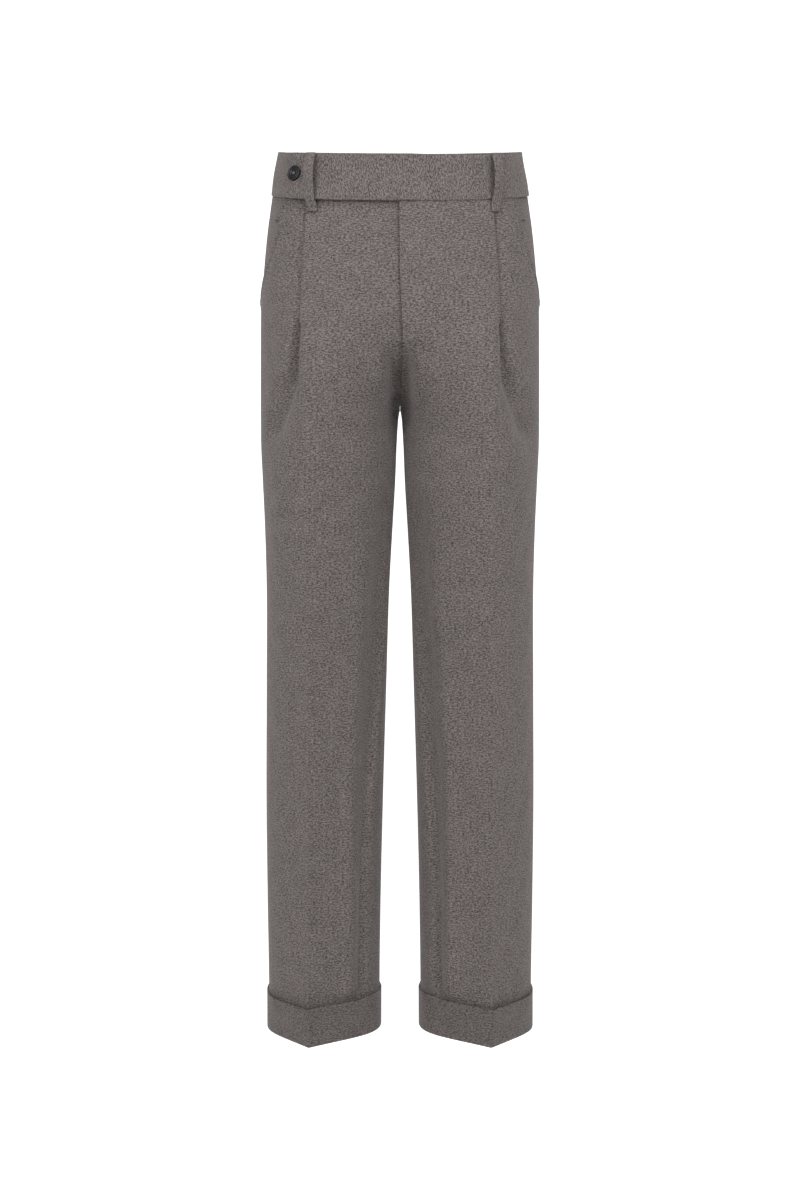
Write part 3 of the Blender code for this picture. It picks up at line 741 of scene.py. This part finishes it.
def give_wall(piece, thickness, rounding):
    """The sheet gets its wall to both sides, and the wall's edges are rounded off."""
    wall = piece.modifiers.new("Wall", "SOLIDIFY")
    wall.thickness = thickness
    wall.offset = 0
    edges = piece.modifiers.new("Rounded edges", "BEVEL")
    edges.width = rounding
    edges.segments = 2
    edges.limit_method = "ANGLE"
    edges.angle_limit = math.radians(62)


def cloth_piece(node, rows, side, thickness, closed=False, grain="across", cloth=flannel):
    """A piece of flannel that replaces its CAD node.

    The UV map is the cut: distance along the row, and distance down the piece, in metres. On a band
    the grain runs the other way, so u and v change places.
    """
    grid = np.array(rows)
    u = np.linalg.norm(np.diff(grid, axis=1), axis=2)
    u = np.concatenate([np.zeros((len(grid), 1)), np.cumsum(u, axis=1)], axis=1)
    u -= u[:, u.shape[1] // 2][:, None]
    v = np.repeat(grid[:, :, 2].mean(axis=1)[:, None], grid.shape[1], axis=1)
    cut = np.stack([u, v] if grain == "across" else [v, u], axis=-1) + side * 0.83
    grid = grid * (side, 1, 1)
    if side < 0:
        grid, cut = grid[:, ::-1], cut[:, ::-1]
    piece = place_object(f"{node}_cloth", sheet_mesh(node, grid, closed, cut), cloth)
    give_wall(piece, thickness, 0.35 * thickness)
    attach(piece, "root")
    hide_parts(node)
    return piece


def name_of(piece, side):
    return f"{piece}_{'left' if side > 0 else 'right'}"


def front_out(line, at, side):
    """How far the front lies out of its plain row: fly, folds, crease and the roll at its seams."""
    level = line.level
    step = smooth(level, *FLY_STEP)
    from_middle = line.length - at
    if side > 0:
        out = FLY_LIFT * step * (1 - smooth(from_middle, FLY_WIDTH, FLY_WIDTH + FLY_SLOPE))
        out = out + step * ridge(from_middle, FLY_LIP)
    else:
        out = -FLY_SINK * step * (1 - smooth(from_middle, *FLY_TURN))
    out = out + smooth(-level, *CREASE_GROWS["front"]) * ridge(at - line.crease, CREASE_RIDGE)
    if level <= POCKET_ENDS:
        out = out - ridge(at, SEAM_ROLL)
    else:
        out = out + ridge(at - POCKET.at("inset", level), MOUTH_LIP)
    out = out - smooth(-level, *LEG_ROLL_GROWS) * ridge(from_middle, SEAM_ROLL)
    if CROTCH < level < FLY_STEP[1]:
        out = out - (1 - step) * middle_lap(side, line, at)
    return out - fold_depth(FRONT_FOLDS, side, line, at) + unevenness(line, at, side)


def make_front(side):
    """Rows from the pocket's mouth or the side seam to the fly or the inside leg seam."""
    rows = []
    for level in panel_levels():
        line = row(level, "front")
        lap = -side * FLY_EDGE.at("left", level) if level > CROTCH else 0.0
        if side < 0 and level > CROTCH:
            lap += SEAM_LAP + (FLY_LAP - SEAM_LAP) * smooth(level, *FLY_LAP_GROWS)
        at, out = front_columns(line, lap)
        rows.append(line.place(at, out + front_out(line, at, side)))
    return cloth_piece(name_of("front", side), rows, side, CLOTH)


for side in (-1, 1):
    make_front(side)

# ------------ backs
# Each back is one piece from the waist seam over the seat to the turn-up. The two meet in the seat
# seam, and each wraps forward to the inside leg seam. Cloth gathers softly under the seat and
# behind the knee, and a shallow pressed line stands for the waist's dart.

BACK = Sizes(
    """
    level middle crease out in
       26    107     90  15  0
      -68    123    104  15  0
     -104    129    116  16  0
     -152    135    128  20  1
     -212    136    133  26  7
     -284    134    131  30 20
     -368    125    123  34 26
     -488    115    114  38 30
     -608    108    107  41 33
     -752    101    101  44 36
     -872     96     96  46 38
    -1020     92     92  48 40
    """,
    plain=("out", "in"),
)
FACES["back"] = {"sizes": BACK, "towards": 1}

# Soft folds of the backs, as on the fronts. The sixth is the dart.
BACK_FOLDS = (
    (0, (11, 15), (4.6, 2.4), ((24, -305), (75, -325), (130, -318))),
    (0, (13, 17), (3, 1.4), ((45, -372), (120, -392))),
    (0, (16, 12), (1.8, 3.4), ((146, -500), (80, -528))),
    (0, (12, 17), (4, 2), ((40, -560), (118, -582))),
    (0, (20, 15), (1.6, 2.8), ((140, -640), (70, -660))),
    (0, (2.2, 2.2), (1.3, 0.4), ((78, -20), (75, -105))),
    (1, (8, 12), (1.8, 0.6), ((12, -235), (40, -262), (85, -270))),
    (-1, (9, 13), (1.9, 0.7), ((12, -246), (50, -280), (96, -284))),
    (1, (9, 12), (1.6, 0.6), ((60, -440), (135, -462))),
    (-1, (10, 8), (0.6, 1.7), ((150, -428), (90, -446))),
    (1, (9, 12), (-1.5, -0.6), ((50, -545), (110, -556))),
    (-1, (10, 13), (-1.6, -0.7), ((60, -600), (125, -612))),
)


def back_columns(line, lap=0.0):
    """Places of a back's columns, from the side seam inwards."""
    outer = np.linspace(SEAM_GAP / 2, line.crease, 40)
    return np.concatenate([outer, np.linspace(line.crease, line.length + lap, 56)[1:]])


def back_out(line, at, side):
    """How far the back lies out of its plain row: folds, crease and the roll at its seams."""
    down = -line.level
    out = smooth(down, *CREASE_GROWS["back"]) * ridge(at - line.crease, CREASE_RIDGE)
    at_middle = 1 - smooth(down, *SEAT_ROLL_FADES) + smooth(down, *LEG_ROLL_GROWS)
    out = out - ridge(at, SEAM_ROLL) - at_middle * ridge(line.length - at, SEAM_ROLL)
    if line.level > CROTCH:
        out = out - middle_lap(side, line, at)
    return out - fold_depth(BACK_FOLDS, side, line, at) + unevenness(line, at, -side)


def make_back(side):
    """Rows down the panel, the first one tucked a little way up into the waistband."""
    levels = panel_levels()
    levels[0] = WAIST_SEAM + SEAM_TUCK
    rows = []
    for level in levels:
        line = row(level, "back")
        at = back_columns(line, SEAM_LAP * (side < 0 and level > CROTCH))
        rows.append(line.place(at, back_out(line, at, side)))
    return cloth_piece(name_of("back", side), rows, side, CLOTH)


for side in (-1, 1):
    make_back(side)

# ------------ pocket facings
# The facing is the strip of flannel that shows between the pocket's slanted edge and the side seam.
# It lies behind the front's edge and is caught in the side seam.

FACING_LAP = 0.004
FACING_ENDS = -0.185
FACING_SINK = CLOTH + 0.0008


def make_pocket_facing(side):
    rows = []
    for level in panel_levels():
        if level > FACING_ENDS:
            line = row(level, "front")
            mouth = front_columns(line)[0][:11]
            at = np.concatenate([np.linspace(-FACING_LAP, mouth[0], 20)[:-1], mouth])
            out = -FACING_SINK - fold_depth(FRONT_FOLDS, side, line, at)
            rows.append(line.place(at, out))
    return cloth_piece(name_of("pocket_facing", side), rows, side, CLOTH)


for side in (-1, 1):
    make_pocket_facing(side)

# ------------ turn-ups
# The hem is folded up outside the leg for 45 mm, with its nap upwards. Its top edge stands off the
# cloth in front and behind, and it is caught at the side and the inside seam.

TURN_UP_HEIGHT = 0.045
TURN_UP_WALL = 0.0020
TURN_UP_STAND = 0.0072
FOOT_ROUND = 0.0016
FOOT_SAG = 0.0014

# The turn-ups use a darker copy of the body's flannel. The upturned nap is real, but its darkness is
# painted shade for how that nap takes the light.
turn_up_flannel_painted_darker = flannel_material(
    "flannel with its nap upwards in painted shade", dark=(0.019, 0.0155, 0.015), light=(0.216, 0.188, 0.179)
)


def make_turn_up(side):
    """Rings down the outside, round the fold at the foot and in under the leg's edge."""
    clear = CLOTH / 2 + SEAM_GAP + TURN_UP_WALL / 2
    foot = TURN_UP_FOOT - TURN_UP_WALL / 2 - FOOT_SAG
    straight_ends = foot + FOOT_ROUND
    down = np.linspace(1, 0, 17)
    turn = np.radians(np.linspace(0, 90, 7)[1:])
    face_rises = straight_ends + (TURN_UP_HEIGHT - straight_ends) * down
    rises = np.concatenate([face_rises, foot + FOOT_ROUND * (1 - np.sin(turn)), [foot, foot]])
    round_stands = clear - FOOT_ROUND * (1 - np.cos(turn))
    inside = [clear - FOOT_ROUND - 0.0005, -CLOTH / 2]
    stands = np.concatenate([np.full(len(down), clear), round_stands, inside])
    leans = TURN_UP_STAND * np.concatenate([down, np.zeros(len(turn) + 2)]) ** 1.3
    rows = []
    for rise, stand, lean in zip(rises, stands, leans, strict=True):
        level = HEM + rise
        ahead, behind = row(level, "front"), row(level, "back")
        ring = Line(np.concatenate([ahead.points, behind.points[-2::-1]]), level, clockwise=-1)
        at = np.concatenate([front_columns(ahead)[0], ring.length - back_columns(behind)[::-1]])
        lift = smooth(rise, 0.012, TURN_UP_HEIGHT)
        loose = 0.0009 * np.sin(52 * at + side) + 0.0006 * np.sin(97 * at - 1.3)
        caught = 1 - 0.6 * bell(at - ahead.length, 0.012)
        out = stand + (lean + lift * loose) * ring.faces(at, 0.15, 0.85) * caught
        rows.append(ring.place(at, out))
    turned = name_of("turn_up", side)
    return cloth_piece(turned, rows, side, TURN_UP_WALL, closed=True, cloth=turn_up_flannel_painted_darker)


for side in (-1, 1):
    make_turn_up(side)

# ------------ waistband
# The waistband is flannel folded over a firm stiffening, in two halves sewn together in the middle
# of the back. The left half runs on past the fly as a long tab with a rounded end.

BAND_WALL = 0.0024
BAND_STEP = 0.0042
BAND_LEVELS = 15
BAND_FRONT_ENDS = (0.12, 0.17)  # from the middle of the front, round the waist
BAND_HOLLOW = 0.0012
BAND_LEAN = 0.0024
BAND_WAVE = 0.0003
TAB_ENDS_AT = 0.1285
TAB_CORNER = 0.009
TAB_DROP = 0.0005
TAB_DROP_GROWS = 0.008
TAB_LIFT = BAND_WALL + 0.0004
TAB_FLARE = 0.0014
TAB_RISES = (-0.034, -0.010)


def waist_line(level):
    """The whole round of the waist, from the middle of the back past the wearer's right side."""
    half = np.concatenate([row(level, "front").points[::-1], row(level, "back").points[1:]])
    return Line(np.concatenate([half[::-1] * (-1, 1), half]), level, clockwise=1)


# Half the waist's round, and how far the tab's end lies from the middle of the front, half way up.
HALF_ROUND = waist_line(0.0).length / 2
TAB_END = row(0.0, "front").length - at_distance(row(0.0, "front"), TAB_ENDS_AT)


def on_band(level, at, out):
    """Places on the waist's round, by their distance from the middle of the front half way up."""
    line = waist_line(level)
    middle = line.length / 2
    return line.place(middle + at * middle / HALF_ROUND, out)


def band_swell(share, at):
    """In front the stiffened band is hollow along its middle. At the sides and back it leans in."""
    front = 1 - smooth(np.abs(at), *BAND_FRONT_ENDS)
    full = BAND_HOLLOW * front * np.cos(2 * math.pi * (share - 0.08))
    lean = BAND_LEAN * (1 - front) * smooth(share, 0.25, 1.0)
    return full - lean + BAND_WAVE * np.sin(41 * at + 5 * share)


def make_waistband_right():
    """Rows up the band, from the seat seam to where it ends under the tab."""
    start, end = -HALF_ROUND + SEAM_GAP, FLY_LAP / 2
    at = np.linspace(start, end, round((end - start) / BAND_STEP))
    under_tab = smooth(at, -TAB_END - 0.01, -TAB_END + 0.01)
    rows = []
    for share in np.linspace(0, 1, BAND_LEVELS):
        level = WAIST_SEAM + SEAM_GAP / 2 + share * (BAND_HEIGHT - SEAM_GAP / 2)
        rows.append(on_band(level, at, band_swell(share, at) * (1 - under_tab)))
    return cloth_piece("waistband_right", rows[::-1], 1, BAND_WALL, grain="along")


def make_waistband_left():
    """Columns along the waist, each from the band's lower edge to its top edge, rounded at the end."""
    corner = -TAB_END + TAB_CORNER * (1 - np.cos(np.radians(np.linspace(0, 84, 13))))
    columns = round((HALF_ROUND + TAB_END) / BAND_STEP)
    plain = np.linspace(-TAB_END + TAB_CORNER, HALF_ROUND - SEAM_GAP, columns)
    at = np.concatenate([corner, plain])
    lift = TAB_LIFT * smooth(-at, *TAB_RISES)
    flare = TAB_FLARE * smooth(-at, 0.0, 0.012) * smooth(at + TAB_END, 0.0, 0.02)
    drop = TAB_DROP * smooth(-at, 0.0, TAB_DROP_GROWS) - SEAM_GAP / 2
    inside = np.clip(1 - (at + TAB_END) / TAB_CORNER, 0, 1)
    rounding = TAB_CORNER * (1 - np.sqrt(1 - inside**2))
    bottom, top = WAIST_SEAM - drop + rounding, BAND_TOP - rounding
    rows = []
    for share in np.linspace(0, 1, BAND_LEVELS):
        out = lift + band_swell(share, at) + flare * (1 - smooth(share, 0.0, 0.35))
        levels = bottom + share * (top - bottom)
        rows.append(on_rows(levels, lambda level, out=out: on_band(level, at, out), count=9))
    return cloth_piece("waistband_left", rows[::-1], 1, BAND_WALL, grain="along")


make_waistband_right()
make_waistband_left()

# ------------ belt loops
# Five folded strips of flannel, caught under the waistband's top edge and tacked down below its
# seam, so each stands off the band like a low bow.

LOOP_WALL = 0.0016
LOOP_WIDTH = 0.0120
LOOP_TAIL = 0.014
LOOP_GAP = 0.0004
LOOP_STEP = 0.011
LOOP_SLACK = {"front": 0.0070, "back": 0.0036}
LOOP_CROWN = 0.0004
BEHIND = 0.30  # a place on the back's side of the band, from the middle of the front

# Each loop's side, its face, its distance from the middle plane and what it lies over.
LOOPS = {
    "loop_front_right": (-1, "front", 0.0991, TAB_LIFT),
    "loop_front_left": (1, "front", 0.1083, 0.0),
    "loop_side_back_right": (-1, "back", 0.1250, 0.0),
    "loop_side_back_left": (1, "back", 0.1250, 0.0),
    "loop_middle_back": (1, "back", 0.0, 0.0),
}


def make_loop(name, side, face, from_middle, over):
    """Rows down the strip. Its middle stands off by a half sine wave, and its edges are pressed."""
    part = np.linspace(-0.5, 0.5, 9)
    lower, upper = CLOTH / 2, BAND_WALL / 2 + over
    rows = []
    for share in np.linspace(0, 1, 45):
        level = BAND_TOP + share * (WAIST_SEAM - LOOP_TAIL - BAND_TOP)
        on = smooth(level, WAIST_SEAM - LOOP_STEP, WAIST_SEAM - TAB_DROP)
        under = lower + (upper - lower) * on
        if face == "back":
            under += band_swell((level - WAIST_SEAM) / BAND_HEIGHT, BEHIND)
        slack = LOOP_SLACK[face] * math.sin(math.pi * min(1.0, share * 1.15)) ** 0.8
        line = row(level, face)
        centre = at_distance(line, from_middle) if from_middle else line.length
        crown = LOOP_CROWN * (1 - (2 * part) ** 2) + 0.5 * slack * part
        out = under + LOOP_GAP + LOOP_WALL / 2 + slack + crown
        rows.append(line.place(centre + LOOP_WIDTH * part, out))
    if face == "back":
        rows = [line[::-1] for line in rows]
    return cloth_piece(name, rows, side, LOOP_WALL, grain="along")


for name, loop in LOOPS.items():
    make_loop(name, *loop)

# ------------ button
# A charcoal four-hole button with a rolled rim and a dished middle, sewn to the band under the tab.
# Its thread crosses in the middle.

BUTTON_INSET = 0.0135
BUTTON_RISE = 0.002
BUTTON_RADIUS = 0.0090
BUTTON_DEPTH = 0.0034
BUTTON_GAP = 0.0005
BUTTON_HOLE = 0.00095
BUTTON_HOLE_OUT = 0.00165
BUTTON_PIT = 0.50 * BUTTON_DEPTH
FACE_POINTS = 40
RIM_STARTS = 0.70
CHARCOAL = ((0.005, 0.005, 0.007), (0.019, 0.018, 0.021))
SEWING_THREAD = (0.050, 0.043, 0.041)
BUTTON_THREAD = (0.190, 0.180, 0.185)


def on_tab(towards_middle, rise, out):
    """Places on the tab's face, given from the button's middle and from the tab's own face."""
    towards_middle, rise, out = np.broadcast_arrays(np.asarray(towards_middle, float), rise, out)
    at = BUTTON_INSET - TAB_END + towards_middle

    def place_row(level):
        line = row(level, "front")
        swell = band_swell((level - WAIST_SEAM) / BAND_HEIGHT, at)
        return line.place(line.length + at, TAB_LIFT + BAND_WALL / 2 + out + swell) * (-1, 1, 1)

    return on_rows(BUTTON_RISE + rise, place_row, count=9)


def button_frame():
    """The button's middle at its back, and its three directions: across, up and outwards."""
    half = BUTTON_RADIUS / 2
    foot, tip, beside = on_tab([0, 0, BUTTON_RADIUS], np.array([-half, half, -half]), BUTTON_GAP)
    up = unit(tip - foot)
    out = unit(np.cross(beside - foot, up))
    return (foot + tip) / 2, np.array([np.cross(up, out), up, out])


BUTTON_AT, BUTTON_WAYS = button_frame()


def two_shades(tree, scale, detail, dark, light):
    """Noise in the object's own place, and the colour that it mixes from two."""
    place = add_node(tree, "TexCoord", {})["Object"]
    noise = add_node(tree, "TexNoise", {"Vector": place, "Scale": scale, "Detail": detail})["Fac"]
    shades = {"Factor": noise, "A": (*dark, 1), "B": (*light, 1)}
    return noise, add_node(tree, "Mix", shades, data_type="RGBA")["Result"]


def button_material():
    """Satin horn look: a clouded charcoal that is glossier in places."""
    material, shader, tree = plain_material("charcoal button", CHARCOAL[1], 0.30)
    cloud, colour = two_shades(tree, 260, 3, *CHARCOAL)
    gloss = add_node(tree, "MapRange", {"Value": cloud, "To Min": 0.20, "To Max": 0.32})["Result"]
    feed(tree, shader, {"Base Color": colour, "Roughness": gloss, "Specular IOR Level": 0.38})
    return material


def thread_material(name, colour):
    """Twisted thread: dull, with the ply showing as slanting stripes along each stitch."""
    material, shader, tree = plain_material(name, colour, 0.7)
    stripes = two_shades(tree, 2600, 2, np.array(colour) * 0.6, np.array(colour) * 1.5)[1]
    feed(tree, shader, {"Base Color": stripes, "Specular IOR Level": 0.25})
    return material


def make_button():
    """Rings from the middle of the face over the rim to the middle of the back.

    The face's height is a profile of the radius, less a pit for each of the four holes.
    """
    face = np.linspace(0.012, RIM_STARTS, FACE_POINTS)
    rim_turn = np.linspace(0, math.pi, 17)
    groove = 0.07 * bell(face - 0.55, 0.035) - 0.05 * bell(face - 0.46, 0.04)
    radius = np.concatenate([face, 0.85 - 0.14 * np.cos(rim_turn), [0.985, 0.93, 0.80, 0.5, 0.012]])
    rim = 0.66 + 0.34 * np.sin(rim_turn) ** 0.8
    height = np.concatenate([0.60 + 0.06 * face / RIM_STARTS - groove, rim, [0.42, 0.16, 0, 0, 0]])
    turn = np.linspace(0, 2 * math.pi, 144, endpoint=False)
    x, y = (np.outer(radius, way(turn)) * BUTTON_RADIUS for way in (np.cos, np.sin))
    z = np.repeat(height[:, None], 144, axis=1) * BUTTON_DEPTH
    for across, up in ((1, 1), (-1, 1), (-1, -1), (1, -1)):
        away = np.hypot(x - across * BUTTON_HOLE_OUT, y - up * BUTTON_HOLE_OUT)
        pit = 1 - smooth(away, BUTTON_HOLE * 0.72, BUTTON_HOLE * 1.15)
        z[:FACE_POINTS] -= (BUTTON_PIT * pit)[:FACE_POINTS]
    grid = BUTTON_AT + np.stack([x, y, z], axis=-1) @ BUTTON_WAYS
    mesh = sheet_mesh("waist_button", grid[::-1], closed=True)
    piece = place_object("waist_button_turned", mesh, button_material())
    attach(piece, "root")
    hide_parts("waist_button")


make_button()


def stitches(name, starts, ends, outward, radius, arch, material):
    """A stitch from each start to each end: a thin round thread whose middle rises by its arch.

    Its cross-section is a hexagon that shrinks to nothing at both ends, so each stitch is closed.
    """
    share = np.linspace(0, 1, 7)[:, None, None]
    turn = np.linspace(0, 2 * math.pi, 6, endpoint=False)[:, None]
    beside = unit(np.cross(ends - starts, outward))[:, None, None]
    along, out = (ends - starts)[:, None, None], outward[:, None, None]
    bow = np.sin(math.pi * share)
    thick = radius * np.clip(bow * 2.2, 0.02, 1)
    points = starts[:, None, None] + along * share + out * (arch * bow)
    points = points + thick * (np.cos(turn) * beside + np.sin(turn) * out)
    index = np.arange(points[..., 0].size).reshape(points.shape[:3])
    after = np.roll(index, -1, axis=2)
    walls = np.stack([index[:, :-1], index[:, 1:], after[:, 1:], after[:, :-1]], axis=-1)
    faces = walls.reshape(-1, 4).tolist() + np.concatenate([index[:, 0], index[:, -1, ::-1]]).tolist()
    mesh = bpy.data.meshes.new(name)
    mesh.from_pydata(points.reshape(-1, 3).tolist(), [], faces)
    mesh.shade_smooth()
    piece = place_object(name, mesh, material)
    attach(piece, "root")


thread = thread_material("sewing thread", SEWING_THREAD)


def make_button_thread():
    """Two turns of thread over each diagonal between the holes."""
    starts, ends = [], []
    for across in (1, -1):
        for shift in (-0.00028, 0.00028):
            aside = shift * np.array([1, -across])
            hole = np.array([BUTTON_HOLE_OUT * across, BUTTON_HOLE_OUT]) + aside
            starts.append([*hole, BUTTON_PIT])
            ends.append([*(-hole + 2 * aside), BUTTON_PIT])
    starts, ends = (BUTTON_AT + np.array(points) @ BUTTON_WAYS for points in (starts, ends))
    outward = np.repeat(BUTTON_WAYS[2:], 4, axis=0)
    material = thread_material("button thread", BUTTON_THREAD)
    stitches("button_thread", starts, ends, outward, 0.00030, 0.0012, material)


make_button_thread()

# ------------ buttonhole
# The slit in the tab is edged with close buttonhole stitches in matching silk. The button pulls it
# open, so its lower lip stands up a little beside the button.

HOLE_STARTS = -0.002
HOLE_ENDS = 0.0165
HOLE_LIPS = 0.0016
HOLE_STITCH = 0.0015
HOLE_SAG = 0.0085
HOLE_LIFT = 0.0008
SILK = (0.230, 0.205, 0.195)


def make_buttonhole():
    """Stitches across both lips, then fanned round the end, and a near-black sheet in the slit as
    painted shade.
    """
    along = np.arange(HOLE_STARTS, HOLE_ENDS, 0.00062)
    sag = -HOLE_SAG * bell(along - HOLE_STARTS, 0.011)
    opening = HOLE_LIPS * np.sqrt(np.clip(1 - ((along - 0.004) / 0.0135) ** 2, 0.02, 1))
    inner, outer = [], []
    for lip in (-1, 1):
        stands = 0.0001 + HOLE_LIFT * (lip < 0) * opening / HOLE_LIPS
        inner.append(on_tab(along, sag + lip * opening * 0.5, stands))
        outer.append(on_tab(along, sag + lip * (opening * 0.5 + HOLE_STITCH), 0.0001))
    fan = np.radians(np.arange(-75, 76, 25))
    for ends, reach in ((inner, 0.0003), (outer, HOLE_STITCH)):
        ends.append(on_tab(HOLE_ENDS + reach * np.cos(fan), reach * np.sin(fan), 0.0001))
    inner, outer = np.concatenate(inner), np.concatenate(outer)
    outward = np.repeat(BUTTON_WAYS[2:], len(inner), axis=0)
    silk = thread_material("buttonhole silk", SILK)
    stitches("buttonhole_silk", inner, outer, outward, 0.00036, 0.00035, silk)
    # The shadow inside the open slit is painted shade: a near-black sheet laid just over the tab
    # between the lips.
    slit = [on_tab(along, sag + part * opening, 0.00008) for part in np.linspace(-0.5, 0.5, 5)]
    shade = plain_material("painted shade inside the buttonhole", (0.010, 0.009, 0.009), 0.95)[0]
    piece = place_object("buttonhole_slit_painted_shade", sheet_mesh("buttonhole_slit_painted_shade", np.array(slit)), shade)
    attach(piece, "root")


make_buttonhole()

# ------------ tacks and stitching
# Bars of close stitches hold both ends of each pocket's mouth, with a row of small stitches between
# them. Another row, curving in to the fly's end, holds the fly facing behind the left front.

SMALL_STITCH = {"radius": 0.00022, "arch": 0.0001}
FLY_STITCH = 0.0016
FLY_CURVES = (-0.172, -0.220)
POCKET_STITCH_IN = 0.0055
TACK_STITCH = {"radius": 0.0003, "arch": 0.0002}
TACK_LENGTH = 0.010
TACK_WIDTH = 0.0014
TACKS = ((-0.0535, -0.0115, 0.0), (-0.159, 0.001, 0.6))  # level, how far in it starts, slant


def on_front(side, from_middle, levels):
    """Places on a front's face by their distance along the row from the middle, and their ways out."""

    def place_all(out):
        def place_row(level):
            line = row(level, "front")
            at = line.length - from_middle
            return line.place(at, front_out(line, at, side) + CLOTH / 2 + out) * (side, 1, 1)

        return on_rows(levels, place_row)

    places = place_all(0.0)
    return places, unit(place_all(0.001) - places)


def sew(name, side, away, level, step, stitch):
    """Stitches on a front, each from its place to one that is a step away."""
    starts, outward = on_front(side, away, level)
    ends = on_front(side, away + step[0], level + step[1])[0]
    stitches(name, starts, ends, outward, **stitch, material=thread)


def make_fly_stitching():
    """The stitches run down beside the fly's edge, then round a quarter of an ellipse."""
    curve, end = FLY_CURVES
    straight = np.arange(WAIST_SEAM - 0.003, curve, -0.0034)
    turn = np.radians(np.arange(0, 86, 5.5))
    away = np.concatenate([np.full(len(straight), FLY_WIDTH), FLY_WIDTH * np.cos(turn) - 0.002])
    level = np.concatenate([straight, curve + (end - curve) * np.sin(turn)])
    step = FLY_STITCH * unit(np.gradient(np.column_stack([away, level]), axis=0))
    sew("fly_stitching", 1, away, level, step.T, SMALL_STITCH)


make_fly_stitching()


def make_pocket_tacks(side):
    """A bar at the top of the pocket's mouth and one at its lower end."""
    away, height = [], []
    for level, starts_in, slant in TACKS:
        mouth = row(level, "front").length - float(POCKET.at("inset", level))
        along = np.linspace(0, TACK_LENGTH, 18)
        away.append(mouth - starts_in - along * math.cos(slant))
        height.append(level + along * math.sin(slant))
    away, height = np.concatenate(away), np.concatenate(height) - TACK_WIDTH / 2
    sew(name_of("pocket_tacks", side), side, away, height, (0, TACK_WIDTH), TACK_STITCH)


def make_pocket_stitching(side):
    """A row of small stitches beside the pocket's slanted edge."""
    level = np.arange(-0.060, -0.150, -0.0032)
    away = np.array([row(height, "front").length for height in level])
    away = away - POCKET.at("inset", level) - POCKET_STITCH_IN
    step = 0.5 * np.gradient(away), 0.5 * np.gradient(level)
    sew(name_of("pocket_stitching", side), side, away, level, step, SMALL_STITCH)


for side in (-1, 1):
    make_pocket_tacks(side)

for side in (-1, 1):
    make_pocket_stitching(side)
